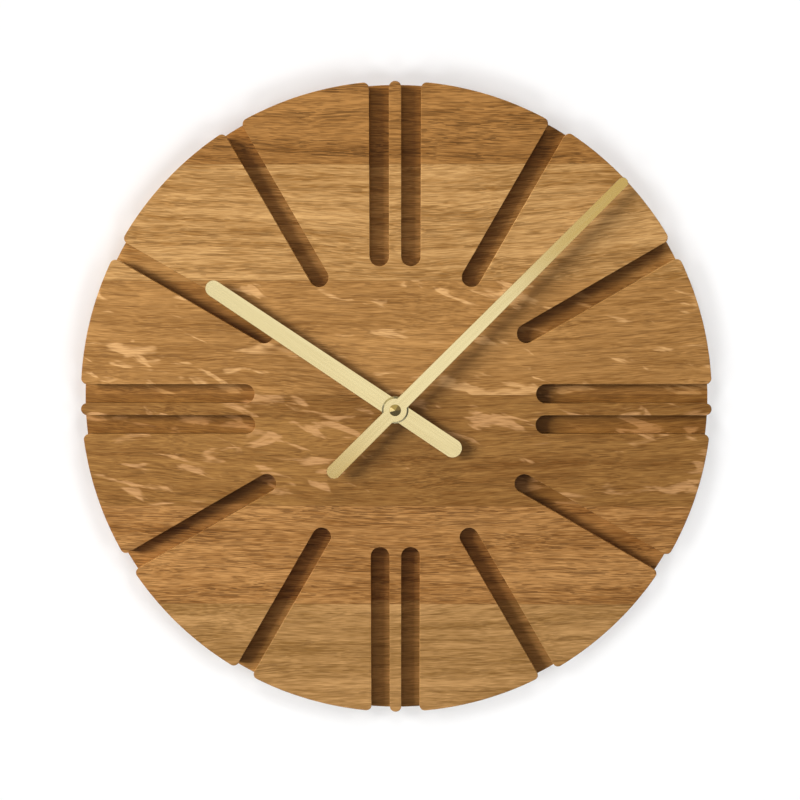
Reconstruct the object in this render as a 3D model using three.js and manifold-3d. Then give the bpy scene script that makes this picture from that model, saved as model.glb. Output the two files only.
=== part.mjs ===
// Wooden wall clock: an edge-glued oak dial with routed hour slots, flat brass hands and a battery movement.
// Sizes are millimetres and +Z is up. The dial faces -Y, with its centre on the wall's plane at the origin.
import * as THREE from "three";
import { mergeVertices } from "three/addons/utils/BufferGeometryUtils.js";
import Module from "manifold-3d";

const wasm = await Module();
wasm.setup();

// Oak dial
const dialDiameter = 340;
const dialThickness = 24;
const edgeBevel = 0.8;
const glueLineHeights = [-107.8, -52.8, 7.7, 68.5, 128.2];
const dialWeb = 5;

// Hour slots in the dial's face
const slotWidth = 10.2;
const slotDepth = 7.2;
const slotInnerRadius = 75.8;
const ribWidth = 6.5;
const mouthRadius = 3;

// Keyhole hanger on the back of the dial
const hangerHeight = 108;
const hangerPlateWidth = 18;
const hangerPlateLength = 44;
const hangerPlateThickness = 2;
const hangerClearance = 0.3;
const keyholeHeadDiameter = 10;
const keyholeShankWidth = 5;
const keyholeTravel = 12;
const headRoomWidth = 12;
const headRoomDepth = 6;
const headRoomCorner = 5.4;
const screwSpacing = 35;
const screwShankDiameter = 3;
const screwHeadDiameter = 6;
const screwLength = 12;
const screwPoint = 0.6;

// Movement case
const caseSize = 56;
const caseDepth = 16;
const caseCorner = 4;
const caseWall = 1.2;
const caseFloor = 1.1;
const coverThickness = 1;
const lipDepth = 1.6;
const lipWall = 0.8;
const lidClearance = 0.15;
const pocketClearance = 2;
const pocketCorner = 6;

// The case size for which the wheels and the motor are drawn
const drawnCaseSize = 56;

// Central fixing
const neckDiameter = 7.9;
const neckClearance = 0.3;
const neckReveal = 0.6;
const gasketDiameter = 20;
const gasketThickness = 1;
const washerDiameter = 12;
const washerThickness = 0.5;
const nutAcrossFlats = 11;
const nutHeight = 2;

// Hands and the pipes that carry them
const runningClearance = 0.1;
const pressClearance = 0.05;
const hourPipeDiameter = 5;
const cannonDiameter = 3.5;
const cannonTailDiameter = 2.5;
const cannonTailReveal = 0.3;
const arborReach = 1;
const studDiameter = 2.8;
const studFlats = 2.2;
const studLength = 1.2;
const handThickness = 0.8;
const handSpacing = 1.9;
const hourHandLift = 4.1;
const hourPipeReveal = 0.6;
const hourHandLength = 119.2;
const hourHandTail = 42;
const hourTipWidth = 8.6;
const hourTailWidth = 10.1;
const hourBossDiameter = 14.5;
const hourColletDiameter = 8;
const hourColletLength = 0.6;
const minuteHandLength = 168.3;
const minuteHandTail = 50.3;
const minuteTipWidth = 5.3;
const minuteTailWidth = 7.6;
const minuteBossDiameter = 12.5;
const capNutDiameter = 6.2;
const capNutRim = 1;
const capNutCone = 1.2;
const capNutBoreDepth = 1.4;
const shownHour = 10;
const shownMinute = 7.5;

// Wheels: teeth, modules, thicknesses, and the directions of their axes in degrees anticlockwise from three
const hourTeeth = 32;
const motionTeeth = 30;
const motionPinionTeeth = 8;
const cannonTeeth = 10;
const centreTeeth = 48;
const thirdTeeth = 45;
const thirdPinionTeeth = 6;
const fourthTeeth = 30;
const fourthPinionTeeth = 6;
const intermediateTeeth = 36;
const intermediatePinionTeeth = 6;
const rotorTeeth = 6;
const motionModuleDrawn = 0.5;
const thirdModuleDrawn = 0.37;
const fourthModuleDrawn = 0.56;
const intermediateModuleDrawn = 0.33;
const toothTop = 0.85;
const toothRoot = 1.2;
const toothRootShare = 0.5;
const toothTipShare = 0.2;
const motionWheelThickness = 1;
const trainWheelThickness = 0.8;
const wheelGap = 0.8;
const statorRoom = 1.6;
const floorGap = 0.5;
const pinionOverhang = 0.1;
const hubWall = 0.8;
const motionDirection = 0;
const thirdDirection = 150;
const intermediateDirection = 65;
const rotorDirection = 120;

// Arbors and the bosses that they turn in
const arborRadius = 0.35;
const stemRadius = 0.55;
const pivotDepth = 0.5;
const pivotWall = 0.45;
const floorBossHeight = 0.35;
const coverBossHeight = 0.9;
const endPlay = 0.15;

// Setting knob
const knobDiameter = 10;
const knobThickness = 1.8;
const knobRidges = 14;
const knobRidgeDepth = 0.35;
const knobRecessDepth = 1.4;
const knobClearance = 1;
const knobLift = 0.3;
const knobEnd = 0.5;

// Stepping motor
const magnetDiameterDrawn = 5;
const magnetLength = 2.4;
const magnetBore = 1.8;
const magnetGapDrawn = 0.5;
const statorThickness = 1.2;
const statorWidthDrawn = 28;
const statorBarHeight = 4;
const statorRingDrawn = 1.5;
const statorLegWidth = 3.2;
const statorWheelGap = 0.8;
const coreHeightDrawn = 2.6;
const coilGap = 0.3;
const bobbinLengthDrawn = 19;
const bobbinFlangeDiameterDrawn = 6;
const bobbinFlangeThickness = 0.8;
const bobbinWall = 0.4;
const windingBuild = 0.62;
const motorPinDiameter = 1.4;
const motorPostDiameter = 2.6;
const motorPinReveal = 0.6;

// Circuit board
const boardWidth = 8.6;
const boardThickness = 0.8;
const boardCorner = 0.5;
const boardDepth = 8.5;
const boardSideGap = 0.4;
const boardEndGap = 1.3;
const boardTopGap = 3.5;
const boardPostDiameter = 2;
const chipDiameter = 5;
const chipHeight = 1;
const chipPlaceShare = 0.38;
const crystalDiameter = 2;
const crystalLength = 6;
const crystalLift = 0.05;
const crystalPlaceShare = 0.68;

// Battery, the partition above its bay, its saddles and its contacts
const batteryDiameter = 14.2;
const contactRoom = 1.55;
const batteryNubDiameter = 5.5;
const batteryNubLength = 1;
const batteryEdge = 0.6;
const batteryClearance = 0.3;
const partitionThickness = 1;
const saddleThickness = 2;
const saddleReach = 0.35;
const contactThickness = 0.3;
const contactWidth = 7;
const contactLength = 9;
const contactGap = 0.15;
const stripWidth = 1.1;
const stripStandoff = 0.2;
const notchWidth = 1.2;

// Where shapes are joined, each runs this far into the next, and a cut runs this far past the face it opens.
const embed = 0.2;
const overcut = 1;

// Facets round a whole turn, and steps along an arc of an outline
const pinFacets = 8;
const postFacets = 12;
const bossFacets = 16;
const pipeFacets = 20;
const neckFacets = 24;
const dialFacets = 96;
const cornerSteps = 4;
const roundSteps = 8;
const domeSteps = 3;

// Planes across the clock's depth, from the hands at the front to the wall at y = 0
const dialRadius = dialDiameter / 2;
const dialFront = -dialThickness;
const pocketFloor = dialFront + dialWeb;
const caseFront = pocketFloor + gasketThickness;
const worksFront = caseFront + caseFloor;
const caseBack = caseFront + caseDepth;
const coverFront = caseBack - coverThickness;
const washerFront = dialFront - washerThickness;
const neckFront = washerFront - nutHeight - neckReveal;
const hourHandBack = dialFront - hourHandLift;
const hourHandFront = hourHandBack - handThickness;
const minuteHandBack = hourHandFront - handSpacing;
const minuteHandFront = minuteHandBack - handThickness;

// The front and back planes of each wheel, counted from the floor of the case
function layerBehind(plane, gap, thickness) {
  const front = plane + gap;
  return { front, back: front + thickness };
}

const hourLayer = layerBehind(worksFront, floorGap, motionWheelThickness);
const motionLayer = layerBehind(hourLayer.back, wheelGap, motionWheelThickness);
const centreLayer = layerBehind(motionLayer.back, wheelGap, trainWheelThickness);
const thirdLayer = layerBehind(centreLayer.back, wheelGap, trainWheelThickness);
const fourthLayer = layerBehind(thirdLayer.back, wheelGap, trainWheelThickness);
const intermediateLayer = layerBehind(fourthLayer.back, statorRoom, trainWheelThickness);
const statorBack = intermediateLayer.front - statorWheelGap;
const statorFront = statorBack - statorThickness;
const coreBack = statorBack + statorThickness;
const magnetFront = statorFront - (magnetLength - statorThickness) / 2;
const magnetBack = magnetFront + magnetLength;
const arborFront = worksFront - pivotDepth + endPlay;
const arborBack = coverFront + pivotDepth - endPlay;
const boardFront = worksFront + boardDepth;
const boardBack = boardFront + boardThickness;

// The wheels and the motor keep their share of the case
const worksShare = caseSize / drawnCaseSize;
const motionModule = motionModuleDrawn * worksShare;
const thirdModule = thirdModuleDrawn * worksShare;
const fourthModule = fourthModuleDrawn * worksShare;
const intermediateModule = intermediateModuleDrawn * worksShare;
const magnetDiameter = magnetDiameterDrawn * worksShare;
const magnetGap = magnetGapDrawn * worksShare;
const statorRing = statorRingDrawn * worksShare;
const statorWidth = statorWidthDrawn * worksShare;
const coreHeight = coreHeightDrawn * worksShare;
const bobbinLength = bobbinLengthDrawn * worksShare;
const bobbinFlangeDiameter = bobbinFlangeDiameterDrawn * worksShare;

// Places of the axes in the plane of the dial, each distance worked out from the teeth that meet across it
const degrees = Math.PI / 180;

function along(from, direction, distance) {
  const angle = direction * degrees;
  return new THREE.Vector2(from.x + distance * Math.cos(angle), from.y + distance * Math.sin(angle));
}

const centreAxis = new THREE.Vector2(0, 0);
const motionDistance = ((cannonTeeth + motionTeeth) * motionModule) / 2;
const hourModule = (2 * motionDistance) / (motionPinionTeeth + hourTeeth);
const thirdDistance = ((fourthPinionTeeth + thirdTeeth) * thirdModule) / 2;
const centreModule = (2 * thirdDistance) / (thirdPinionTeeth + centreTeeth);
const intermediateDistance = ((fourthTeeth + intermediatePinionTeeth) * fourthModule) / 2;
const rotorDistance = ((intermediateTeeth + rotorTeeth) * intermediateModule) / 2;
const motionAxis = along(centreAxis, motionDirection, motionDistance);
const thirdAxis = along(centreAxis, thirdDirection, thirdDistance);
const intermediateAxis = along(centreAxis, intermediateDirection, intermediateDistance);
const rotorAxis = along(intermediateAxis, rotorDirection, rotorDistance);

// Places inside the case: the battery lies along the bottom, under a partition, and the works are above it.
const caseHalf = caseSize / 2;
const caseInner = caseHalf - caseWall;
const batteryLength = 2 * (caseInner - contactRoom);
const batteryPlane = worksFront + batteryClearance + batteryDiameter / 2;
const batteryHeight = -caseInner + batteryClearance + batteryDiameter / 2;
const partitionBottom = batteryHeight + batteryDiameter / 2 + batteryClearance;
const partitionTop = partitionBottom + partitionThickness;
const boardLeft = -caseInner + boardSideGap;
const boardBottom = partitionTop + boardEndGap;
const boardLength = caseInner - boardTopGap - boardBottom;
const statorRadius = magnetDiameter / 2 + magnetGap + statorRing;
const coilRise = statorRadius + coilGap + bobbinFlangeDiameter / 2;
const coilHeight = rotorAxis.y + coilRise;
const motorPinX = (statorWidth - statorLegWidth) / 2;

// Finishes
const oak = { color: 0xa9743f, roughness: 0.6, metalness: 0 };
const brushedBrass = { color: 0xe3d196, roughness: 0.3, metalness: 1 };
const turnedBrass = { color: 0xc8a45a, roughness: 0.3, metalness: 1 };
const steel = { color: 0xb9bcc0, roughness: 0.35, metalness: 1 };
const blackPlastic = { color: 0x1d1e20, roughness: 0.55, metalness: 0 };
const whitePlastic = { color: 0xe9e7df, roughness: 0.4, metalness: 0 };
const rubber = { color: 0x26262a, roughness: 0.9, metalness: 0 };
const greenBoard = { color: 0x1f6b3c, roughness: 0.5, metalness: 0 };
const blackResin = { color: 0x101114, roughness: 0.35, metalness: 0 };
const copperWire = { color: 0xb5683a, roughness: 0.35, metalness: 1 };
const ferrite = { color: 0x3b3b3e, roughness: 0.6, metalness: 0.4 };
const blueSleeve = { color: 0x2f4f8f, roughness: 0.4, metalness: 0.2 };

// Closed geometry as a solid that can be joined and cut
function toSolid(geometry) {
  const bare = new THREE.BufferGeometry();
  bare.setAttribute("position", geometry.getAttribute("position"));
  bare.setIndex(geometry.index);
  const merged = mergeVertices(bare, 1e-4);
  const vertProperties = merged.getAttribute("position").array;
  const triVerts = new Uint32Array(merged.index.array);
  return new wasm.Manifold(new wasm.Mesh({ numProp: 3, vertProperties, triVerts }));
}

// The faces of a joined or cut solid as geometry
function toGeometry(solid) {
  const mesh = solid.getMesh();
  const geometry = new THREE.BufferGeometry();
  geometry.setAttribute("position", new THREE.BufferAttribute(mesh.vertProperties, 3));
  geometry.setIndex(new THREE.BufferAttribute(mesh.triVerts, 1));
  return geometry;
}

function join(geometries) {
  return toGeometry(geometries.map(toSolid).reduce((whole, piece) => whole.add(piece)));
}

function cut(geometry, tools) {
  return toGeometry(tools.map(toSolid).reduce((rest, tool) => rest.subtract(tool), toSolid(geometry)));
}

function overlapOf(first, second) {
  return toGeometry(toSolid(first).intersect(toSolid(second)));
}

// An outline drawn as the dial is seen, x right and y up, made solid between two planes across the depth
function plate(outline, front, back, curveSegments = roundSteps) {
  const options = { depth: back - front, bevelEnabled: false, curveSegments };
  const geometry = new THREE.ExtrudeGeometry(outline, options);
  geometry.rotateX(Math.PI / 2);
  return geometry.translate(0, back, 0);
}

// A profile of radius and depth pairs, from front to back, turned about the axis of the hands
function turned(profile, segments = pipeFacets) {
  const points = profile.map(([radius, y]) => new THREE.Vector2(radius, y));
  return new THREE.LatheGeometry(points, segments);
}

function rod(radius, front, back, segments = bossFacets) {
  return turned([[0, front], [radius, front], [radius, back], [0, back]], segments);
}

function tube(bore, radius, front, back, segments = pipeFacets) {
  return turned([[bore, front], [radius, front], [radius, back], [bore, back], [bore, front]], segments);
}

function movedTo(place, geometry) {
  return geometry.translate(place.x, 0, place.y);
}

// A turned shape laid down so that its axis runs from left to right
function laidAcross(x, y, z, geometry) {
  geometry.rotateZ(-Math.PI / 2);
  return geometry.translate(x, y, z);
}

function roundedRectangle(left, right, bottom, top, corner) {
  const outline = new THREE.Shape();
  outline.absarc(right - corner, bottom + corner, corner, -Math.PI / 2, 0, false);
  outline.absarc(right - corner, top - corner, corner, 0, Math.PI / 2, false);
  outline.absarc(left + corner, top - corner, corner, Math.PI / 2, Math.PI, false);
  outline.absarc(left + corner, bottom + corner, corner, Math.PI, 1.5 * Math.PI, false);
  return outline;
}

function polygon(points) {
  return new THREE.Shape(points.map(([x, y]) => new THREE.Vector2(x, y)));
}

function roundHole(x, y, radius) {
  return new THREE.Path().absarc(x, y, radius, 0, 2 * Math.PI, true);
}

function block(left, right, front, back, bottom, top) {
  return plate(polygon([[left, bottom], [right, bottom], [right, top], [left, top]]), front, back);
}

function addMesh(parent, name, geometry, finish) {
  const mesh = new THREE.Mesh(geometry, new THREE.MeshStandardMaterial(finish));
  mesh.name = name;
  parent.add(mesh);
}

// A group on an axis, turned clockwise by an angle as the dial is seen
function addAxis(parent, axis, clockwise) {
  const group = new THREE.Group();
  group.position.set(axis.x, 0, axis.y);
  group.rotation.y = clockwise;
  parent.add(group);
  return group;
}

// One side of a slot's mouth: the arc that rolls from the slot's side into the rim of the dial
function mouthCorner(sideX, outward, radius) {
  const x = sideX + outward * radius;
  const z = Math.sqrt((dialRadius - radius) ** 2 - x ** 2);
  return { x, z, radius, sideAngle: outward > 0 ? Math.PI : 0, rimAngle: Math.atan2(z, x) };
}

// A slot's outline, drawn at twelve: round inner end, straight sides and mouth corners that roll outwards
function slotOutline(offset, leftRadius, rightRadius) {
  const half = slotWidth / 2;
  const left = mouthCorner(offset - half, -1, leftRadius);
  const right = mouthCorner(offset + half, 1, rightRadius);
  const reach = dialRadius + mouthRadius;
  const outline = new THREE.Shape();
  outline.absarc(offset, slotInnerRadius + half, half, Math.PI, 2 * Math.PI, false);
  outline.absarc(right.x, right.z, right.radius, right.sideAngle, right.rimAngle, true);
  outline.lineTo(reach * Math.cos(right.rimAngle), reach * Math.sin(right.rimAngle));
  outline.lineTo(reach * Math.cos(left.rimAngle), reach * Math.sin(left.rimAngle));
  outline.absarc(left.x, left.z, left.radius, left.rimAngle, left.sideAngle, true);
  return outline;
}

// Sixteen slots: one at most hours, and two beside a round-ended rib at twelve, three, six and nine
function slotTools() {
  const tools = [];
  const pairOffset = (slotWidth + ribWidth) / 2;
  const ribEnd = ribWidth / 2;
  for (let hour = 0; hour < 12; hour += 1) {
    const outlines =
      hour % 3 === 0
        ? [slotOutline(-pairOffset, mouthRadius, ribEnd), slotOutline(pairOffset, ribEnd, mouthRadius)]
        : [slotOutline(0, mouthRadius, mouthRadius)];
    for (const outline of outlines) {
      const tool = plate(outline, dialFront - overcut, dialFront + slotDepth, cornerSteps);
      tools.push(tool.rotateY(hour * 30 * degrees));
    }
  }
  return tools;
}

// The turned disc before it is routed, with its front and back edges eased
function dialBlank() {
  const flat = dialRadius - edgeBevel;
  const profile = [
    [0, dialFront],
    [flat, dialFront],
    [dialRadius, dialFront + edgeBevel],
    [dialRadius, -edgeBevel],
    [flat, 0],
    [0, 0],
  ];
  return turned(profile, dialFacets);
}

// Half the outline of a countersunk screw, from its point to the rim of its head, grown by a clearance
function screwProfile(clearance) {
  const head = screwHeadDiameter / 2 + clearance;
  const shank = screwShankDiameter / 2 + clearance;
  const headDepth = (screwHeadDiameter - screwShankDiameter) / 2;
  const end = -screwLength - clearance;
  return [
    [0, end],
    [screwPoint + clearance, end],
    [shank, end + screwShankDiameter],
    [shank, -headDepth],
    [head, 0],
  ];
}

function hangerScrew(height) {
  const profile = [...screwProfile(0), [0, 0]];
  return movedTo(new THREE.Vector2(0, height), turned(profile, postFacets));
}

// The hole for a screw, run out past the back of the plate
function screwHole(height) {
  const head = screwHeadDiameter / 2 + runningClearance;
  const profile = [...screwProfile(runningClearance), [head, overcut], [0, overcut]];
  return movedTo(new THREE.Vector2(0, height), turned(profile, postFacets));
}

function screwHeights() {
  return [hangerHeight - screwSpacing / 2, hangerHeight + screwSpacing / 2];
}

// The keyhole: a round hole that lets a screw's head in, and above it a slot that holds the shank
function keyholePath() {
  const head = keyholeHeadDiameter / 2;
  const shank = keyholeShankWidth / 2;
  const join = Math.asin(shank / head);
  const path = new THREE.Path();
  path.absarc(0, hangerHeight - keyholeTravel / 2, head, Math.PI / 2 + join, 2.5 * Math.PI - join, false);
  path.absarc(0, hangerHeight + keyholeTravel / 2, shank, 0, Math.PI, false);
  return path;
}

function hangerOutline(clearance) {
  const half = hangerPlateWidth / 2 + clearance;
  const reach = hangerPlateLength / 2 + clearance;
  return roundedRectangle(-half, half, hangerHeight - reach, hangerHeight + reach, half / 2);
}

// Cuts in the back of the dial for the movement's case and neck, and for the hanger and its screws
function backTools() {
  const half = caseHalf + pocketClearance;
  const pocket = roundedRectangle(-half, half, -half, half, pocketCorner);
  const roomHalf = headRoomWidth / 2;
  const roomReach = keyholeTravel / 2 + roomHalf;
  const room = roundedRectangle(
    -roomHalf,
    roomHalf,
    hangerHeight - roomReach,
    hangerHeight + roomReach,
    headRoomCorner,
  );
  return [
    plate(pocket, pocketFloor, overcut, cornerSteps),
    rod(neckDiameter / 2 + neckClearance, dialFront - overcut, pocketFloor + overcut, neckFacets),
    plate(hangerOutline(hangerClearance), -hangerPlateThickness, overcut, cornerSteps),
    plate(room, -hangerPlateThickness - headRoomDepth, overcut, cornerSteps),
    ...screwHeights().map(screwHole),
  ];
}

// The dial is one glued panel that is routed as a whole, so each stave is a slice of the finished disc.
function buildDial(parent) {
  const dial = cut(dialBlank(), [...slotTools(), ...backTools()]);
  const beyond = dialRadius + overcut;
  const edges = [-beyond, ...glueLineHeights, beyond];
  for (let row = 0; row < edges.length - 1; row += 1) {
    const slice = block(-beyond, beyond, dialFront - overcut, overcut, edges[row], edges[row + 1]);
    addMesh(parent, `oak_stave_${row + 1}`, overlapOf(dial, slice), oak);
  }
}

function buildHanger(parent) {
  const outline = hangerOutline(0);
  outline.holes.push(keyholePath());
  const holes = screwHeights().map(screwHole);
  addMesh(parent, "hanger_plate", cut(plate(outline, -hangerPlateThickness, 0, cornerSteps), holes), steel);
  screwHeights().forEach((height, index) => {
    addMesh(parent, `hanger_screw_${index + 1}`, hangerScrew(height), steel);
  });
}

// Gasket, washer and hex nut that clamp the case to the dial by its neck
function buildFixing(parent) {
  const bore = neckDiameter / 2 + runningClearance;
  addMesh(parent, "rubber_gasket", tube(bore, gasketDiameter / 2, pocketFloor, caseFront), rubber);
  addMesh(parent, "front_washer", tube(bore, washerDiameter / 2, washerFront, dialFront), turnedBrass);
  const corner = nutAcrossFlats / 2 / Math.cos(Math.PI / 6);
  const hexagon = new THREE.Shape();
  for (let side = 0; side < 6; side += 1) {
    const point = along(centreAxis, side * 60 + 30, corner);
    if (side === 0) hexagon.moveTo(point.x, point.y);
    else hexagon.lineTo(point.x, point.y);
  }
  hexagon.holes.push(roundHole(0, 0, bore));
  const nut = plate(hexagon, washerFront - nutHeight, washerFront, pipeFacets / 2);
  addMesh(parent, "hex_nut", nut, turnedBrass);
}

// Straight-flanked teeth, narrower than the gaps between them so that every mesh has play
function gearOutline(teeth, module, bore = 0) {
  const pitch = 360 / teeth;
  const radius = (teeth * module) / 2;
  const root = radius - toothRoot * module;
  const tip = radius + toothTop * module;
  const rootHalf = (toothRootShare * pitch) / 2;
  const tipHalf = (toothTipShare * pitch) / 2;
  const points = [];
  for (let tooth = 0; tooth < teeth; tooth += 1) {
    const middle = tooth * pitch;
    points.push(along(centreAxis, middle - rootHalf, root));
    points.push(along(centreAxis, middle - tipHalf, tip));
    points.push(along(centreAxis, middle + tipHalf, tip));
    points.push(along(centreAxis, middle + rootHalf, root));
  }
  const outline = new THREE.Shape(points);
  if (bore > 0) outline.holes.push(roundHole(0, 0, bore));
  return outline;
}

function gear(teeth, module, front, back, bore = 0) {
  return plate(gearOutline(teeth, module, bore), front, back, roundSteps);
}

// The anticlockwise turn, in radians, that puts a gap of the driven gear where a tooth of its driver points.
function meshedTurn(driverTurn, driverTeeth, teeth, direction) {
  const towards = direction * degrees;
  return towards + Math.PI + Math.PI / teeth - ((driverTurn - towards) * driverTeeth) / teeth;
}

// Posts of the case floor: two carry the circuit board, and two with pins carry the stator and coil core
function casePosts() {
  const boardX = boardLeft + boardPostDiameter;
  const boardEnds = [boardBottom + boardPostDiameter, boardBottom + boardLength - boardPostDiameter];
  const boardPosts = boardEnds.map((z) => {
    const post = rod(boardPostDiameter / 2, worksFront - embed, boardFront, postFacets);
    return movedTo(new THREE.Vector2(boardX, z), post);
  });
  const motorPosts = [-motorPinX, motorPinX].flatMap((x) => {
    const place = new THREE.Vector2(rotorAxis.x + x, coilHeight);
    const post = rod(motorPostDiameter / 2, worksFront - embed, statorFront, postFacets);
    const pin = rod(motorPinDiameter / 2, worksFront, coreBack + motorPinReveal, postFacets);
    return [movedTo(place, post), movedTo(place, pin)];
  });
  return [...boardPosts, ...motorPosts];
}

// Two saddles in the battery bay, hollowed to the battery's own curve
function batterySaddles() {
  const hollow = batteryDiameter / 2 + batteryClearance;
  return [-batteryLength / 4, batteryLength / 4].map((middle) => {
    const left = middle - saddleThickness / 2;
    const top = batteryPlane - hollow * saddleReach;
    const body = block(
      left,
      left + saddleThickness,
      worksFront - embed,
      top,
      -caseInner - embed,
      partitionBottom + embed,
    );
    const core = rod(hollow, -batteryLength, batteryLength, neckFacets);
    const bed = laidAcross(0, batteryPlane, batteryHeight, core);
    return cut(body, [bed]);
  });
}

// Bearing bosses and the blind holes in them, at each axis given
function bosses(axes, front, back) {
  const radius = arborRadius + runningClearance + pivotWall;
  return axes.map((axis) => movedTo(axis, rod(radius, front, back, postFacets)));
}

function pivotHoles(axes, front, back) {
  const radius = arborRadius + runningClearance;
  return axes.map((axis) => movedTo(axis, rod(radius, front, back, pinFacets)));
}

// The front housing: a square tray with the neck through the dial, bearings, posts and the battery bay
function buildHousing(parent) {
  const outside = roundedRectangle(-caseHalf, caseHalf, -caseHalf, caseHalf, caseCorner);
  const inside = roundedRectangle(-caseInner, caseInner, -caseInner, caseInner, caseCorner - caseWall);
  const tray = cut(plate(outside, caseFront, caseBack, cornerSteps), [
    plate(inside, worksFront, caseBack + overcut, cornerSteps),
    block(-caseSize, caseSize, coverFront, caseBack + overcut, partitionBottom, caseSize),
  ]);
  const reach = caseInner + embed;
  const partition = block(-reach, reach, worksFront - embed, coverFront, partitionBottom, partitionTop);
  const axes = [motionAxis, thirdAxis, intermediateAxis, rotorAxis];
  const body = join([
    tray,
    partition,
    rod(neckDiameter / 2, neckFront, caseFront + embed, neckFacets),
    ...bosses(axes, worksFront - embed, worksFront + floorBossHeight),
    ...casePosts(),
    ...batterySaddles(),
  ]);
  const under = partitionBottom - embed;
  const over = partitionTop + embed;
  const notches = [-caseInner, caseInner - notchWidth].map((left) =>
    block(left, left + notchWidth, worksFront, coverFront + overcut, under, over),
  );
  const neckBore = hourPipeDiameter / 2 + runningClearance;
  const cuts = [
    rod(neckBore, neckFront - overcut, worksFront + embed, pipeFacets),
    ...pivotHoles(axes, worksFront - pivotDepth, worksFront + overcut),
    ...notches,
  ];
  addMesh(parent, "front_housing", cut(body, cuts), blackPlastic);
}

// The back cover closes the works and leaves the battery bay open, so that the battery comes out at the back.
function buildCover(parent) {
  const square = roundedRectangle(-caseHalf, caseHalf, -caseHalf, caseHalf, caseCorner);
  const works = block(-caseSize, caseSize, pocketFloor, overcut, partitionBottom, caseSize);
  const lid = overlapOf(plate(square, coverFront, caseBack, cornerSteps), works);
  const reach = caseInner - lidClearance;
  const bottom = partitionTop + lidClearance;
  const corner = caseCorner - caseWall;
  const lipFront = coverFront - lipDepth;
  const lipOuter = roundedRectangle(-reach, reach, bottom, reach, corner);
  const inner = reach - lipWall;
  const lipInner = roundedRectangle(-inner, inner, bottom + lipWall, inner, corner - lipWall);
  const lip = cut(plate(lipOuter, lipFront, coverFront + embed, cornerSteps), [
    plate(lipInner, lipFront - overcut, coverFront + overcut, cornerSteps),
  ]);
  const recess = knobDiameter / 2 + knobClearance;
  const recessFloor = caseBack - knobRecessDepth;
  const dishFront = recessFloor - coverThickness;
  const axes = [centreAxis, thirdAxis, intermediateAxis, rotorAxis];
  const body = join([
    lid,
    lip,
    movedTo(motionAxis, rod(recess + coverThickness, dishFront, coverFront + embed, pipeFacets)),
    ...bosses(axes, coverFront - coverBossHeight, coverFront + embed),
  ]);
  const cuts = [
    movedTo(motionAxis, rod(recess, recessFloor, caseBack + overcut, pipeFacets)),
    movedTo(motionAxis, rod(stemRadius + runningClearance, dishFront - overcut, caseBack, postFacets)),
    ...pivotHoles(axes, coverFront - coverBossHeight - overcut, coverFront + pivotDepth),
  ];
  addMesh(parent, "back_cover", cut(body, cuts), blackPlastic);
}

// The minute pipe: a pinion, a barrel through the hour wheel, flats for the hand, a round stud for the cap
// nut, and a tail that the centre wheel grips by friction
function cannonPinion() {
  const barrel = join([
    rod(cannonDiameter / 2, minuteHandBack, motionLayer.back),
    rod(cannonTailDiameter / 2, motionLayer.back - embed, centreLayer.back + cannonTailReveal),
    rod(studFlats / 2, minuteHandFront - studLength, minuteHandBack + embed),
    plate(flattedStud(0), minuteHandFront + pressClearance, minuteHandBack + embed, cornerSteps),
    gear(cannonTeeth, motionModule, motionLayer.front, motionLayer.back),
  ]);
  const bore = arborRadius + runningClearance;
  return cut(barrel, [rod(bore, caseFront, centreLayer.back + overcut, pinFacets)]);
}

// A round section with two flats, which turns the minute hand
function flattedStud(clearance) {
  const radius = studDiameter / 2 + clearance;
  const angle = Math.acos((studFlats / 2 + clearance) / radius);
  const outline = new THREE.Shape();
  outline.absarc(0, 0, radius, angle, Math.PI - angle, false);
  outline.absarc(0, 0, radius, Math.PI + angle, 2 * Math.PI - angle, false);
  return outline;
}

// A train wheel with a pinion in front of it, fixed on one arbor
function trainWheel(wheel, pinion, pinionFront, front = arborFront) {
  return join([
    gear(wheel.teeth, wheel.module, wheel.layer.front, wheel.layer.back),
    gear(pinion.teeth, pinion.module, pinionFront, wheel.layer.front + embed),
    rod(arborRadius, front, arborBack, pinFacets),
  ]);
}

function knobOutline() {
  const points = [];
  const steps = knobRidges * 2;
  for (let step = 0; step < steps; step += 1) {
    const radius = knobDiameter / 2 - (step % 2) * knobRidgeDepth;
    points.push(along(centreAxis, (step * 360) / steps, radius));
  }
  return new THREE.Shape(points);
}

// Motion work: the wheel and pinion behind the hands, turned from the back by a knob on the same stem
function buildMotionWheel(parent, turn) {
  const axis = addAxis(parent, motionAxis, -turn);
  const knobFront = caseBack - knobRecessDepth + knobLift;
  const knobBack = knobFront + knobThickness;
  const wheel = join([
    gear(motionTeeth, motionModule, motionLayer.front, motionLayer.back),
    gear(motionPinionTeeth, hourModule, hourLayer.front, motionLayer.front + embed),
    rod(arborRadius, arborFront, hourLayer.back, pinFacets),
    rod(stemRadius, motionLayer.front, knobBack - knobEnd - pressClearance, postFacets),
  ]);
  addMesh(axis, "motion_wheel", wheel, whitePlastic);
  const socket = rod(stemRadius + pressClearance, knobFront - overcut, knobBack - knobEnd, postFacets);
  addMesh(axis, "setting_knob", cut(plate(knobOutline(), knobFront, knobBack), [socket]), blackPlastic);
}

// The rotor: a plastic pinion on its arbor, with the magnet ring seated against the pinion's teeth
function buildRotor(parent, turn) {
  const axis = addAxis(parent, rotorAxis, -turn);
  const pinion = join([
    gear(rotorTeeth, intermediateModule, magnetBack, intermediateLayer.back + pinionOverhang),
    rod(magnetBore / 2 - pressClearance, magnetFront, magnetBack + embed),
    rod(arborRadius, arborFront, arborBack, pinFacets),
  ]);
  addMesh(axis, "rotor_pinion", pinion, whitePlastic);
  addMesh(axis, "rotor_magnet", tube(magnetBore / 2, magnetDiameter / 2, magnetFront, magnetBack), ferrite);
}

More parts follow.
